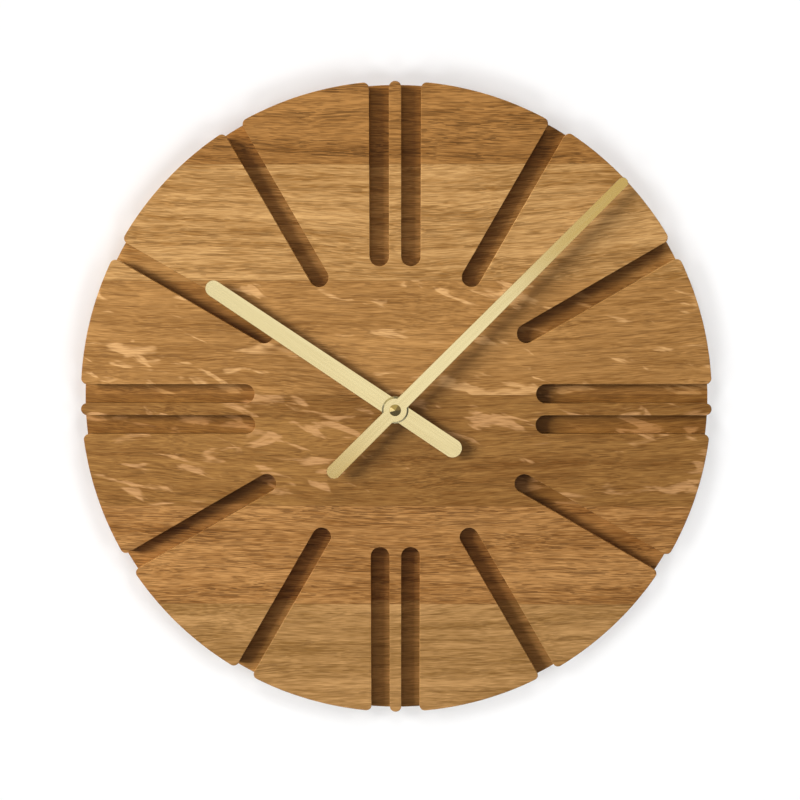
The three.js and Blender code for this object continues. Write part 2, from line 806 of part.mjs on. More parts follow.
// Each gear is turned into mesh with the one before it, starting from the minute hand and from the rotor.
function buildWheels(parent, minuteTurn) {
  const motionTurn = meshedTurn(minuteTurn, cannonTeeth, motionTeeth, motionDirection);
  const hourTurn = meshedTurn(motionTurn, motionPinionTeeth, hourTeeth, motionDirection + 180);
  const towardsIntermediate = rotorDirection + 180;
  const intermediateTurn = meshedTurn(0, rotorTeeth, intermediateTeeth, towardsIntermediate);
  const towardsCentre = intermediateDirection + 180;
  const fourthTurn = meshedTurn(intermediateTurn, intermediatePinionTeeth, fourthTeeth, towardsCentre);
  const thirdTurn = meshedTurn(fourthTurn, fourthPinionTeeth, thirdTeeth, thirdDirection);
  const centreTurn = meshedTurn(thirdTurn, thirdPinionTeeth, centreTeeth, thirdDirection + 180);

  const hourBore = cannonDiameter / 2 + runningClearance;
  const hourWheel = join([
    gear(hourTeeth, hourModule, hourLayer.front, hourLayer.back, hourBore),
    tube(hourBore, hourPipeDiameter / 2, hourHandFront - hourPipeReveal, hourLayer.back),
  ]);
  addMesh(addAxis(parent, centreAxis, -hourTurn), "hour_wheel", hourWheel, whitePlastic);
  addMesh(addAxis(parent, centreAxis, -minuteTurn), "cannon_pinion", cannonPinion(), steel);
  buildMotionWheel(parent, motionTurn);

  const tailBore = cannonTailDiameter / 2 + runningClearance;
  const hubFront = motionLayer.back + runningClearance;
  const hubBack = centreLayer.back + embed;
  const centreWheel = join([
    gear(centreTeeth, centreModule, centreLayer.front, centreLayer.back, tailBore),
    tube(tailBore, tailBore + hubWall, hubFront, hubBack),
  ]);
  addMesh(addAxis(parent, centreAxis, -centreTurn), "centre_wheel", centreWheel, turnedBrass);

  const thirdWheel = trainWheel(
    { teeth: thirdTeeth, module: thirdModule, layer: thirdLayer },
    { teeth: thirdPinionTeeth, module: centreModule },
    centreLayer.front - pinionOverhang,
  );
  addMesh(addAxis(parent, thirdAxis, -thirdTurn), "third_wheel", thirdWheel, whitePlastic);

  const fourthWheel = trainWheel(
    { teeth: fourthTeeth, module: fourthModule, layer: fourthLayer },
    { teeth: fourthPinionTeeth, module: thirdModule },
    thirdLayer.front - pinionOverhang,
    caseFront + arborReach,
  );
  addMesh(addAxis(parent, centreAxis, -fourthTurn), "fourth_wheel", fourthWheel, whitePlastic);

  const intermediateWheel = trainWheel(
    { teeth: intermediateTeeth, module: intermediateModule, layer: intermediateLayer },
    { teeth: intermediatePinionTeeth, module: fourthModule },
    fourthLayer.front - pinionOverhang,
  );
  const intermediate = addAxis(parent, intermediateAxis, -intermediateTurn);
  addMesh(intermediate, "intermediate_wheel", intermediateWheel, whitePlastic);
  buildRotor(parent, 0);
}

// The stator: a bar with a ring for the rotor's magnet, and a leg up to each end of the coil's core
function statorOutline() {
  const half = statorWidth / 2;
  const bar = statorBarHeight / 2;
  const legTop = coilRise + coreHeight / 2;
  const meet = Math.asin(bar / statorRadius);
  const outline = new THREE.Shape();
  outline.moveTo(-half, legTop);
  outline.lineTo(-half, -bar);
  outline.absarc(0, 0, statorRadius, Math.PI + meet, 2 * Math.PI - meet, false);
  outline.lineTo(half, -bar);
  outline.lineTo(half, legTop);
  outline.lineTo(half - statorLegWidth, legTop);
  outline.lineTo(half - statorLegWidth, bar);
  outline.absarc(0, 0, statorRadius, meet, Math.PI - meet, false);
  outline.lineTo(-half + statorLegWidth, bar);
  outline.lineTo(-half + statorLegWidth, legTop);
  outline.holes.push(roundHole(0, 0, magnetDiameter / 2 + magnetGap), ...motorPinHoles());
  return outline;
}

function motorPinHoles() {
  return [-motorPinX, motorPinX].map((x) => roundHole(x, coilRise, motorPinDiameter / 2 + runningClearance));
}

// The coil's core lies on the stator's legs, and the bobbin with its winding is threaded on it.
function buildMotor(parent) {
  const stator = plate(statorOutline(), statorFront, statorBack, roundSteps);
  addMesh(parent, "stator", movedTo(rotorAxis, stator), steel);
  const half = statorWidth / 2;
  const low = coilRise - coreHeight / 2;
  const high = coilRise + coreHeight / 2;
  const core = polygon([[-half, low], [half, low], [half, high], [-half, high]]);
  core.holes.push(...motorPinHoles());
  addMesh(parent, "coil_core", movedTo(rotorAxis, plate(core, statorBack, coreBack, cornerSteps)), steel);

  const middle = (statorBack + coreBack) / 2;
  const end = bobbinLength / 2;
  const flange = bobbinFlangeDiameter / 2;
  const barrel = Math.hypot(coreHeight, statorThickness) / 2 + lidClearance + bobbinWall;
  const innerEnd = end - bobbinFlangeThickness;
  const spool = turned([
    [0, -end],
    [flange, -end],
    [flange, -innerEnd],
    [barrel, -innerEnd],
    [barrel, innerEnd],
    [flange, innerEnd],
    [flange, end],
    [0, end],
  ]);
  const window = block(
    rotorAxis.x - bobbinLength,
    rotorAxis.x + bobbinLength,
    statorBack - lidClearance,
    coreBack + lidClearance,
    coilHeight - coreHeight / 2 - lidClearance,
    coilHeight + coreHeight / 2 + lidClearance,
  );
  const bobbin = cut(laidAcross(rotorAxis.x, middle, coilHeight, spool), [window]);
  addMesh(parent, "coil_bobbin", bobbin, whitePlastic);
  const woundEnd = innerEnd - lidClearance;
  const wireBore = barrel + runningClearance;
  const winding = tube(wireBore, wireBore + windingBuild, -woundEnd, woundEnd);
  addMesh(parent, "coil_winding", laidAcross(rotorAxis.x, middle, coilHeight, winding), copperWire);
}

function buildElectronics(parent) {
  const right = boardLeft + boardWidth;
  const top = boardBottom + boardLength;
  const outline = roundedRectangle(boardLeft, right, boardBottom, top, boardCorner);
  addMesh(parent, "circuit_board", plate(outline, boardFront, boardBack, cornerSteps / 2), greenBoard);
  const middle = boardLeft + boardWidth / 2;
  const profile = [[0, boardBack]];
  for (let step = 0; step < domeSteps; step += 1) {
    const angle = (step / domeSteps) * (Math.PI / 2);
    profile.push([(chipDiameter / 2) * Math.cos(angle), boardBack + chipHeight * Math.sin(angle)]);
  }
  profile.push([0, boardBack + chipHeight]);
  const chipPlace = new THREE.Vector2(middle, boardBottom + boardLength * chipPlaceShare);
  addMesh(parent, "resin_covered_chip", movedTo(chipPlace, turned(profile, bossFacets)), blackResin);
  const can = rod(crystalDiameter / 2, 0, crystalLength, postFacets);
  can.rotateX(Math.PI / 2);
  const canBottom = boardBottom + boardLength * crystalPlaceShare;
  can.translate(middle, boardBack + crystalLift + crystalDiameter / 2, canBottom);
  addMesh(parent, "quartz_crystal", can, steel);
}

function buildBattery(parent) {
  const radius = batteryDiameter / 2;
  const nub = batteryNubDiameter / 2;
  const end = batteryLength / 2;
  const shoulder = end - batteryNubLength;
  const cell = turned(
    [
      [0, -end],
      [radius - batteryEdge, -end],
      [radius, -end + batteryEdge],
      [radius, shoulder - batteryEdge],
      [radius - batteryEdge, shoulder],
      [nub, shoulder],
      [nub, end],
      [0, end],
    ],
    neckFacets,
  );
  addMesh(parent, "battery", laidAcross(0, batteryPlane, batteryHeight, cell), blueSleeve);
}

// A bent strip, whose outline is drawn in x and depth and is as tall as the contact is wide
function contactBlade(points) {
  const options = { depth: contactWidth, bevelEnabled: false };
  const blade = new THREE.ExtrudeGeometry(polygon(points), options);
  return blade.translate(0, 0, batteryHeight - contactWidth / 2);
}

// The negative contact: a folded spring leaf at the battery's flat end, with a tail up to the circuit board
function negativeContact() {
  const wall = -caseInner + contactGap;
  const face = -batteryLength / 2 - contactGap;
  const near = batteryPlane - contactLength / 2;
  const far = batteryPlane + contactLength / 2;
  const bend = wall + contactThickness;
  const flat = contactThickness * 2;
  const leaf = contactBlade([
    [wall, near],
    [bend, near],
    [bend, far - contactThickness],
    [face - contactThickness, batteryPlane + flat],
    [face - contactThickness, batteryPlane - flat],
    [bend + contactGap, near + flat],
    [bend + contactGap + contactThickness, near + flat],
    [face, batteryPlane - flat],
    [face, batteryPlane + flat],
    [bend + contactGap, far],
    [wall, far],
  ]);
  const tailBack = boardFront - contactGap;
  const tail = block(wall, bend, tailBack - stripWidth, tailBack, batteryHeight, boardBottom + stripWidth);
  return join([leaf, tail]);
}

// The positive contact: a tab with a raised boss, and a strip over the partition to the circuit board
function positiveContact() {
  const wall = caseInner - contactGap;
  const face = batteryLength / 2 + contactGap;
  const near = batteryPlane - contactLength / 2;
  const far = batteryPlane + contactLength / 2;
  const bend = wall - contactThickness;
  const rise = bend - face;
  const tab = contactBlade([
    [wall, near],
    [wall, batteryPlane - rise * 2],
    [face + contactThickness, batteryPlane - rise],
    [face + contactThickness, batteryPlane + rise],
    [wall, batteryPlane + rise * 2],
    [wall, far],
    [bend, far],
    [bend, batteryPlane + rise * 2],
    [face, batteryPlane + rise],
    [face, batteryPlane - rise],
    [bend, batteryPlane - rise * 2],
    [bend, near],
  ]);
  const strip = near + stripWidth;
  const low = partitionTop + stripStandoff;
  const high = low + contactThickness;
  const left = boardLeft + boardWidth - stripWidth;
  return join([
    tab,
    block(bend, wall, near, strip, batteryHeight, high),
    block(left, wall, near, strip, low, high),
    block(left, left + contactThickness, near, boardFront - contactGap, low, boardBottom + stripWidth),
  ]);
}

// A hand's blade, drawn pointing at twelve: a tapered bar with full-round ends, and a round boss at the pipe
function handBlade(length, tail, tipWidth, tailWidth, bossDiameter) {
  const tip = tipWidth / 2;
  const end = tailWidth / 2;
  const tipHeight = length - tip;
  const tailHeight = tail - end;
  const lean = Math.asin((end - tip) / (tipHeight + tailHeight));
  const bar = new THREE.Shape();
  bar.absarc(0, tipHeight, tip, lean, Math.PI - lean, false);
  bar.absarc(0, -tailHeight, end, Math.PI - lean, 2 * Math.PI + lean, false);
  const boss = new THREE.Shape().absarc(0, 0, bossDiameter / 2, 0, 2 * Math.PI, false);
  return { bar, boss };
}

function buildHourHand(parent, angle) {
  const { bar, boss } = handBlade(
    hourHandLength,
    hourHandTail,
    hourTipWidth,
    hourTailWidth,
    hourBossDiameter,
  );
  const colletBack = hourHandBack + hourColletLength;
  const body = join([
    plate(bar, hourHandFront, hourHandBack),
    plate(boss, hourHandFront, hourHandBack, bossFacets),
    rod(hourColletDiameter / 2, hourHandBack - embed, colletBack, pipeFacets),
  ]);
  const bore = hourPipeDiameter / 2 + pressClearance;
  const hole = rod(bore, hourHandFront - overcut, colletBack + overcut, pipeFacets);
  addMesh(addAxis(parent, centreAxis, angle), "hour_hand", cut(body, [hole]), brushedBrass);
}

function buildMinuteHand(parent, angle) {
  const { bar, boss } = handBlade(
    minuteHandLength,
    minuteHandTail,
    minuteTipWidth,
    minuteTailWidth,
    minuteBossDiameter,
  );
  const body = join([
    plate(bar, minuteHandFront, minuteHandBack),
    plate(boss, minuteHandFront, minuteHandBack, bossFacets),
  ]);
  const stud = flattedStud(pressClearance);
  const hole = plate(stud, minuteHandFront - overcut, minuteHandBack + overcut, cornerSteps);
  const axis = addAxis(parent, centreAxis, angle);
  addMesh(axis, "minute_hand", cut(body, [hole]), brushedBrass);

  const radius = capNutDiameter / 2;
  const rimFront = minuteHandFront - capNutRim;
  const nut = turned(
    [
      [0, rimFront - capNutCone],
      [radius, rimFront],
      [radius, minuteHandFront],
      [0, minuteHandFront],
    ],
    neckFacets,
  );
  const boreRadius = studFlats / 2 + pressClearance;
  const bore = rod(boreRadius, minuteHandFront - capNutBoreDepth, minuteHandFront + overcut);
  addMesh(axis, "cap_nut", cut(nut, [bore]), turnedBrass);
}

const clock = new THREE.Group();
const minuteAngle = shownMinute * 6 * degrees;
const hourAngle = (shownHour + shownMinute / 60) * 30 * degrees;
buildDial(clock);
buildHanger(clock);
buildFixing(clock);
buildHousing(clock);
buildCover(clock);
buildMotor(clock);
buildElectronics(clock);
buildBattery(clock);
addMesh(clock, "negative_contact", negativeContact(), steel);
addMesh(clock, "positive_contact", positiveContact(), steel);
buildWheels(clock, -minuteAngle);
buildHourHand(clock, hourAngle);
buildMinuteHand(clock, minuteAngle);

export default clock;
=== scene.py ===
"""Wooden wall clock: oiled oak dial with routed hour slots, flat brass hands and a battery movement.

Places are in metres. The dial faces -Y, and its centre is on the wall's plane at the origin. Outlines
are drawn as the dial is seen, x right and z up, and y is the depth, from the hands back to the wall.
"""

import logging
import math
from collections.abc import Sequence
from dataclasses import dataclass, field, replace
from enum import Enum, IntEnum

import bmesh
import bpy
from mathutils import Matrix, Vector


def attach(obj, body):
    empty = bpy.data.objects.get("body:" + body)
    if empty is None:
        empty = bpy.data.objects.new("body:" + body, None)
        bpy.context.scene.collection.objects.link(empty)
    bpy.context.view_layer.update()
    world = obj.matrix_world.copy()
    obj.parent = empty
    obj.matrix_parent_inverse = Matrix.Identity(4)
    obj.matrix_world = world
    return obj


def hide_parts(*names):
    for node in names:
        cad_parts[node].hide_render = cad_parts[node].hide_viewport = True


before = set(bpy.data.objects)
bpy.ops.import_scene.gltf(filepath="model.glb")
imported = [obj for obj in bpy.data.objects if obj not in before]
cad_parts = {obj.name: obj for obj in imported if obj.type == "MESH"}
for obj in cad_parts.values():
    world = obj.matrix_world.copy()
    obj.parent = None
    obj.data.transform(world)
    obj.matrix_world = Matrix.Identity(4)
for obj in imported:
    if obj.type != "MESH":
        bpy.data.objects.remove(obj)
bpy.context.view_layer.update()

log = logging.getLogger("clock")

MM = 0.001
# How far a cutting tool runs past the surface that it opens.
PAST = 1 * MM
# Edges that turn by less than this, in degrees, are shaded smooth.
SMOOTH_BELOW = 35.0
# The same for the brass parts, whose low cones keep crisp edges.
CRISP_SMOOTH_BELOW = 15.0
# Edges of the model's own solids that turn by more than this, in degrees, are eased.
EASED_ABOVE = 40.0
# Most of a noise's values lie in this span, and the factor and shift turn it to a swing of one about nought.
NOISE_SPAN = (0.3, 0.7)
NOISE_SWING = (5.0, -2.5)
# A mottle's shift moves it by these shares along x, y and z.
SHIFT_SHARES = (1.0, 0.7, 1.3)
# The seeds of neighbouring staves differ by this, so that each has its own part of the noise.
SEED_STEP = 3.7
# How much of a fine relief shows.
FINE_RELIEF = 0.5
# Points of a mesh that are nearer than this are one.
SAME_POINT = 1e-8

Point = tuple[float, float]
Place = tuple[float, float, float]
Outline = list[Point]
Profile = list[Point]
Level = tuple[Outline, float]
Floor = tuple[slice, slice]
Colour = tuple[float, float, float, float]
Piece = bpy.types.Object
Material = bpy.types.Material
Socket = bpy.types.NodeSocket
Mesh = bmesh.types.BMesh
Hoop = list[bmesh.types.BMVert]


class Cut(Enum):
    """How one solid changes another."""

    JOIN = "UNION"
    REMOVE = "DIFFERENCE"
    KEEP = "INTERSECT"


class Parts(IntEnum):
    """How many parts a full circle is cut into."""

    STEM = 32
    SCREW = 48
    BORE = 64
    PIECE = 96
    CAP = 128


# Colours and shader nodes


class Step(Enum):
    """A step of a pattern: its node's type, the inputs it takes, the output it gives, and its settings."""

    PLACE = ("ShaderNodeTexCoord", (), "Object", {})
    SCALED = ("ShaderNodeMapping", ("Vector", "Scale", "Location"), 0, {})
    ROTATED = ("ShaderNodeMapping", ("Vector", "Rotation"), 0, {})
    READ_X = ("ShaderNodeSeparateXYZ", (0,), "X", {})
    READ_Y = ("ShaderNodeSeparateXYZ", (0,), "Y", {})
    READ_Z = ("ShaderNodeSeparateXYZ", (0,), "Z", {})
    ALONG_Z = ("ShaderNodeCombineXYZ", ("Z",), 0, {})
    NOISE = ("ShaderNodeTexNoise", ("Vector", "Scale", "Detail", "Distortion"), 0, {})
    NOISE_EACH_WAY = ("ShaderNodeTexNoise", ("Vector", "Scale", "Detail", "Distortion"), 1, {})
    SPAN = ("ShaderNodeMapRange", (0, 1, 2, 3, 4), 0, {"interpolation_type": "SMOOTHSTEP"})
    MIX = ("ShaderNodeMix", (0, 6, 7), 2, {"data_type": "RGBA"})
    TINT = ("ShaderNodeMix", (0, 6, 7), 2, {"data_type": "RGBA", "blend_type": "MULTIPLY"})
    RELIEF = ("ShaderNodeBump", ("Height", "Distance", "Strength"), 0, {})
    ADD = ("ShaderNodeMath", (0, 1), 0, {"operation": "ADD"})
    SUBTRACT = ("ShaderNodeMath", (0, 1), 0, {"operation": "SUBTRACT"})
    MULTIPLY = ("ShaderNodeMath", (0, 1), 0, {"operation": "MULTIPLY"})
    MULTIPLY_ADD = ("ShaderNodeMath", (0, 1, 2), 0, {"operation": "MULTIPLY_ADD"})
    LARGER = ("ShaderNodeMath", (0, 1), 0, {"operation": "MAXIMUM"})
    SMALLER = ("ShaderNodeMath", (0, 1), 0, {"operation": "MINIMUM"})
    ABOVE = ("ShaderNodeMath", (0, 1), 0, {"operation": "GREATER_THAN"})
    BELOW = ("ShaderNodeMath", (0, 1), 0, {"operation": "LESS_THAN"})
    DISTANCE = ("ShaderNodeMath", (0,), 0, {"operation": "ABSOLUTE"})
    ROOT = ("ShaderNodeMath", (0,), 0, {"operation": "SQRT"})
    WAVE = ("ShaderNodeMath", (0,), 0, {"operation": "SINE"})
    MOVE = ("ShaderNodeVectorMath", (0, 1), 0, {"operation": "ADD"})
    MOVE_BACK = ("ShaderNodeVectorMath", (0, 1), 0, {"operation": "SUBTRACT"})
    MOVE_BY_SHARE = ("ShaderNodeVectorMath", (0, 1, 2), 0, {"operation": "MULTIPLY_ADD"})

    def __init__(
        self, kind: str, inputs: Sequence[str | int], output: str | int, settings: dict[str, str]
    ) -> None:
        """Keeps the node's type name, its inputs in the order given, its output and its settings."""
        self.kind, self.inputs, self.output, self.settings = kind, inputs, output, settings


@dataclass(frozen=True)
class Mottle:
    """Smooth noise, stretched along each axis.

    The size is that of its features along x, y and z, in millimetres, and detail counts the finer layers.
    The shift moves the pattern, so that two of them differ, and warp is how much the noise bends itself.
    """

    size: Place
    detail: float
    shift: float = 0.0
    warp: float = 0.0
    step: Step = Step.NOISE


def linear(colour: str) -> Colour:
    """Turns an sRGB hex colour to linear values.

    Args:
        colour: The colour as #rrggbb.

    Returns:
        Linear red, green and blue, with full alpha.
    """
    channels = [int(colour[place : place + 2], 16) / 255 for place in (1, 3, 5)]
    red, green, blue = (c / 12.92 if c <= 0.04045 else ((c + 0.055) / 1.055) ** 2.4 for c in channels)
    return (red, green, blue, 1.0)


class Shader:
    """A material with a Principled surface, whose patterns are wired step by step."""

    def __init__(self, name: str, colour: str, **values: float) -> None:
        """Makes the material.

        Args:
            name: The material's name.
            colour: The base colour as sRGB hex.
            values: Values of the surface's own sockets, by name with underscores for spaces.
        """
        self.material = bpy.data.materials.new(name)
        self.material.use_nodes = True
        self.material.diffuse_color = linear(colour)
        self.tree = self.material.node_tree
        self.surface = self.tree.nodes["Principled BSDF"]
        self.surface.inputs["Base Color"].default_value = linear(colour)
        for socket, value in values.items():
            self.surface.inputs[socket.replace("_", " ")].default_value = value
        self.place = self.add(Step.PLACE)

    def add(self, step: Step, *inputs: Socket | Sequence[float] | float | str) -> Socket:
        """Adds a node with its settings and links.

        Args:
            step: What the node does.
            inputs: For each input of the step, another node's output, a value, or a colour as hex.

        Returns:
            The node's output.
        """
        node = self.tree.nodes.new(step.kind)
        for name, value in step.settings.items():
            setattr(node, name, value)
        for key, value in zip(step.inputs, inputs):
            if isinstance(value, Socket):
                self.tree.links.new(value, node.inputs[key])
            else:
                node.inputs[key].default_value = linear(value) if isinstance(value, str) else value
        return node.outputs[step.output]

    def wire(self, socket: str, source: Socket) -> None:
        """Links a pattern to a socket of the surface."""
        self.tree.links.new(source, self.surface.inputs[socket])

    def mottled(self, mottle: Mottle, place: Socket, seed: float = 0.0) -> Socket:
        """Draws a mottle.

        Args:
            mottle: Its size and kind.
            place: Where it is read.
            seed: Moves it on this material alone.

        Returns:
            Its value, or its colour where it differs each way.
        """
        features_a_metre = [1 / (size * MM) for size in mottle.size]
        shift = [(seed + mottle.shift) * share for share in SHIFT_SHARES]
        scaled = self.add(Step.SCALED, place, features_a_metre, shift)
        return self.add(mottle.step, scaled, 1.0, mottle.detail, mottle.warp)

    def mottle_sheen(self, mottle: Mottle, place: Socket, smooth: float, rough: float) -> None:
        """Lets the roughness go from one value to another by a mottle read at a place."""
        pattern = self.mottled(mottle, place)
        self.wire("Roughness", self.add(Step.SPAN, pattern, *NOISE_SPAN, smooth, rough))

    def ridge(self, value: Socket, pitch: float, depth: float, strength: float) -> None:
        """Raises even ridges of a pitch and depth along a value in metres, shown by a strength."""
        wave = self.add(Step.WAVE, self.add(Step.MULTIPLY, value, 2 * math.pi / pitch))
        self.wire("Normal", self.add(Step.RELIEF, self.add(Step.SPAN, wave, -1.0, 1.0), depth, strength))


@dataclass(frozen=True)
class OiledOak:
    """European oak, planed, sanded and oiled: an open-pored surface with a low satin sheen.

    The grain runs along x. On the quartersawn staves the medullary rays show as pale flecks.
    """

    light: str
    dark: str
    pore: str
    ray: str
    name: str = "oiled_oak"
    bottom: float = -1.0
    top: float = 1.0
    seed: float = 0.0
    slope: float = 0.0
    bow: float = 0.0
    # The share of each layer in the change from light to dark.
    broad: float = 0.2
    bands: float = 0.17
    streaks: float = 0.17
    fibres: float = 0.33
    pores_shown: float = 0.5
    flecks_shown: float = 0.0
    slow_drift: float = 14 * MM
    quick_drift: float = 2.5 * MM
    # A painted shade darkens the routed wood (the slot floors and walls, and the back) as if in shadow. It sets
    # in between these depths, behind the face.
    recess_shade_tint: str = "#f7edda"
    shade_start_depth: float = -23.4 * MM
    shade_full_depth: float = -21.5 * MM
    # The glue line shows as a dark hair, strongest within the first distance and gone at the second.
    hair: tuple[float, float] = (0.05 * MM, 0.4 * MM)
    hair_shown: float = 0.3
    pore_depth: float = 0.05 * MM
    # The fibres stand proud by this share of the pores' depth.
    fibre_rise: float = 0.3
    wood_roughness: float = 0.52
    ray_roughness: float = 0.4
    # How much of the pores is left between the bands of spring wood.
    pores_between: float = 0.4
    # Flecks show where the rays' noise stands above a threshold, which is lower inside a patch.
    threshold: float = 0.69
    patch_drop: float = 0.12
    patch_span: tuple[float, float] = (0.36, 0.58)
    fleck_edge: float = 0.08
    # The fibres comb the flecks down to this share, over this span of their swing.
    comb_share: float = 0.5
    comb_span: tuple[float, float] = (-0.8, 0.6)

    def make(self) -> Material:
        """Builds the oak of one stave.

        Returns:
            The material.
        """
        shader = Shader(self.name, self.light, Roughness=0.5, IOR=1.5, Specular_IOR_Level=0.25)
        grain = self.bent(shader)
        # Clouds of colour about 18 mm wide, year bands of 4 mm, streaks of 1.6 mm, and fibres. Real fibres
        # are finer than 0.1 mm, too fine for the picture, so they are drawn 0.5 mm wide.
        layers = (
            (self.broad, Mottle((142.9, 25, 18.18), 1)),
            (self.bands, Mottle((166.7, 4.348, 4), 2, 3)),
            (self.streaks, Mottle((23.81, 1.786, 1.5625), 2, 5)),
            (self.fibres, Mottle((8.696, 0.5, 0.4762), 1, 7)),
        )
        tone: Socket | float = 0.5
        swings: list[Socket] = []
        for share, layer in layers:
            pattern = shader.mottled(layer, grain, self.seed)
            swings.append(shader.add(Step.MULTIPLY_ADD, pattern, *NOISE_SWING))
            tone = shader.add(Step.MULTIPLY_ADD, swings[-1], share, tone)
        _, bands, _, fibres = swings
        pores = self.pores(shader, grain, bands)
        flecks = self.flecks(shader, fibres)
        colour = shader.add(Step.MIX, tone, self.dark, self.light)
        colour = shader.add(Step.MIX, pores, colour, self.pore)
        colour = shader.add(Step.MIX, flecks, colour, self.ray)
        # The routed recesses get a painted shade, and the glue joints get dark hairlines.
        shader.wire("Base Color", self.recess_shade_and_glue_lines(shader, colour))
        # The rays are smoother than the wood round them, the pores are sunk, and the fibres stand proud.
        roughness = shader.add(Step.SPAN, flecks, 0.0, 1.0, self.wood_roughness, self.ray_roughness)
        shader.wire("Roughness", roughness)
        closed = shader.add(Step.SUBTRACT, 1.0, pores)
        height = shader.add(Step.MULTIPLY_ADD, fibres, self.fibre_rise, closed)
        shader.wire("Normal", shader.add(Step.RELIEF, height, self.pore_depth, FINE_RELIEF))
        return shader.material

    def bent(self, shader: Shader) -> Socket:
        """Slopes and bows the grain, and lets it wander by some millimetres as along a real board.

        Args:
            shader: The stave's shader.

        Returns:
            The place along the grain.
        """
        place = shader.add(Step.ROTATED, shader.place, (0.0, self.slope, 0.0))
        across = shader.add(Step.READ_X, shader.place)
        sag = shader.add(Step.MULTIPLY, shader.add(Step.MULTIPLY, across, across), -self.bow)
        place = shader.add(Step.MOVE, place, shader.add(Step.ALONG_Z, sag))
        slow = Mottle((166.7, 55.56, 55.56), 1, 11, step=Step.NOISE_EACH_WAY)
        quick = Mottle((33.33, 16.67, 16.67), 1, 17, step=Step.NOISE_EACH_WAY)
        for drift, reach in ((slow, self.slow_drift), (quick, self.quick_drift)):
            pattern = shader.mottled(drift, shader.place, self.seed)
            centred = shader.add(Step.MOVE_BACK, pattern, (0.5, 0.5, 0.5))
            place = shader.add(Step.MOVE_BY_SHARE, centred, (0.0, reach, reach), place)
        return place

    def pores(self, shader: Shader, grain: Socket, bands: Socket) -> Socket:
        """Draws open pores as dark dashes, thickest in the spring wood's bands.

        Real pores are about 0.3 mm wide, too fine for the picture, so they are drawn wider.

        Args:
            shader: The stave's shader.
            grain: The place along the grain.
            bands: The swing of the year bands.

        Returns:
            How much of the pores' colour shows.
        """
        dashes: list[Socket] = []
        # Long pores and short ones, each shown where its noise rises through a narrow span.
        for mottle, span in (
            (Mottle((16.67, 0.4348, 0.4348), 0, 5.5), (0.58, 0.63)),
            (Mottle((8.333, 0.3846, 0.3846), 0, 7.5), (0.6, 0.65)),
        ):
            dashes.append(shader.add(Step.SPAN, shader.mottled(mottle, grain, self.seed), *span))
        zone = shader.add(Step.SPAN, bands, -1.0, 1.0, 1.0, self.pores_between)
        drawn = shader.add(Step.MULTIPLY, shader.add(Step.LARGER, *dashes), zone)
        return shader.add(Step.MULTIPLY, drawn, self.pores_shown)

    def flecks(self, shader: Shader, fibres: Socket) -> Socket:
        """Draws medullary rays where they break the surface, as pale wandering flecks.

        They are about 7 mm wide and 24 to 31 mm long, and lie at two slants, in patches.

        Args:
            shader: The stave's shader.
            fibres: The swing of the fibres, which comb the flecks.

        Returns:
            How much of the rays' colour shows.
        """
        along = (-3, Mottle((31.25, 10.53, 7.692), 3, 29, 0.5), Mottle((111.1, 40, 38.46), 1, 31))
        slanted = (-16, Mottle((23.81, 9.524, 6.667), 3, 30, 0.5), Mottle((111.1, 40, 38.46), 1, 35))
        layers: list[Socket] = []
        for slant, rays, patches in (along, slanted):
            place = shader.add(Step.ROTATED, shader.place, (0.0, math.radians(slant), 0.0))
            pattern = shader.mottled(rays, place, self.seed)
            patch = shader.add(Step.SPAN, shader.mottled(patches, shader.place, self.seed), *self.patch_span)
            threshold = shader.add(Step.MULTIPLY_ADD, patch, -self.patch_drop, self.threshold)
            above = shader.add(Step.SUBTRACT, pattern, threshold)
            layers.append(shader.add(Step.SPAN, above, 0.0, self.fleck_edge))
        comb = shader.add(Step.SPAN, fibres, *self.comb_span, self.comb_share, 1.0)
        combed = shader.add(Step.MULTIPLY, shader.add(Step.LARGER, *layers), comb)
        return shader.add(Step.MULTIPLY, combed, self.flecks_shown)

    def recess_shade_and_glue_lines(self, shader: Shader, colour: Socket) -> Socket:
        """Paints shade into what the router cut, as if in shadow, and draws the hairlines at the glue joints.

        Args:
            shader: The stave's shader.
            colour: The wood's colour.

        Returns:
            The wood's colour, with painted shade in the routed recesses and the glue lines.
        """
        depth, height = (shader.add(step, shader.place) for step in (Step.READ_Y, Step.READ_Z))
        # Painted shade: all wood cut deeper than the face is darkened by a tint, standing in for the shadow in
        # the slots.
        routed = shader.add(Step.SPAN, depth, self.shade_start_depth, self.shade_full_depth)
        in_painted_shade = shader.add(Step.TINT, 1.0, colour, self.recess_shade_tint)
        colour = shader.add(Step.MIX, routed, colour, in_painted_shade)
        above, below = (shader.add(Step.SUBTRACT, height, edge) for edge in (self.bottom, self.top))
        nearest = shader.add(Step.SMALLER, shader.add(Step.DISTANCE, above), shader.add(Step.DISTANCE, below))
        hairline = shader.add(Step.SPAN, nearest, *self.hair, self.hair_shown, 0.0)
        return shader.add(Step.MIX, hairline, colour, self.pore)


@dataclass(frozen=True)
class BrushedBrass:
    """Brass sheet, stamped flat and finely brushed along its length: pale, with a soft silky sheen."""

    name: str
    turn: float
    colour: str = "#efe2b1"
    smooth: float = 0.18
    rough: float = 0.24

    def make(self) -> Material:
        """Builds the brass of one hand.

        Returns:
            The material.
        """
        shader = Shader(self.name, self.colour, Metallic=1.0, Roughness=0.2)
        along_hand = shader.add(Step.ROTATED, shader.place, (0.0, -self.turn, 0.0))
        # Brush lines are about 0.05 mm apart, too fine for the picture, so they are drawn 1 mm apart.
        shader.mottle_sheen(Mottle((1, 1, 40), 1), along_hand, self.smooth, self.rough)
        return shader.material


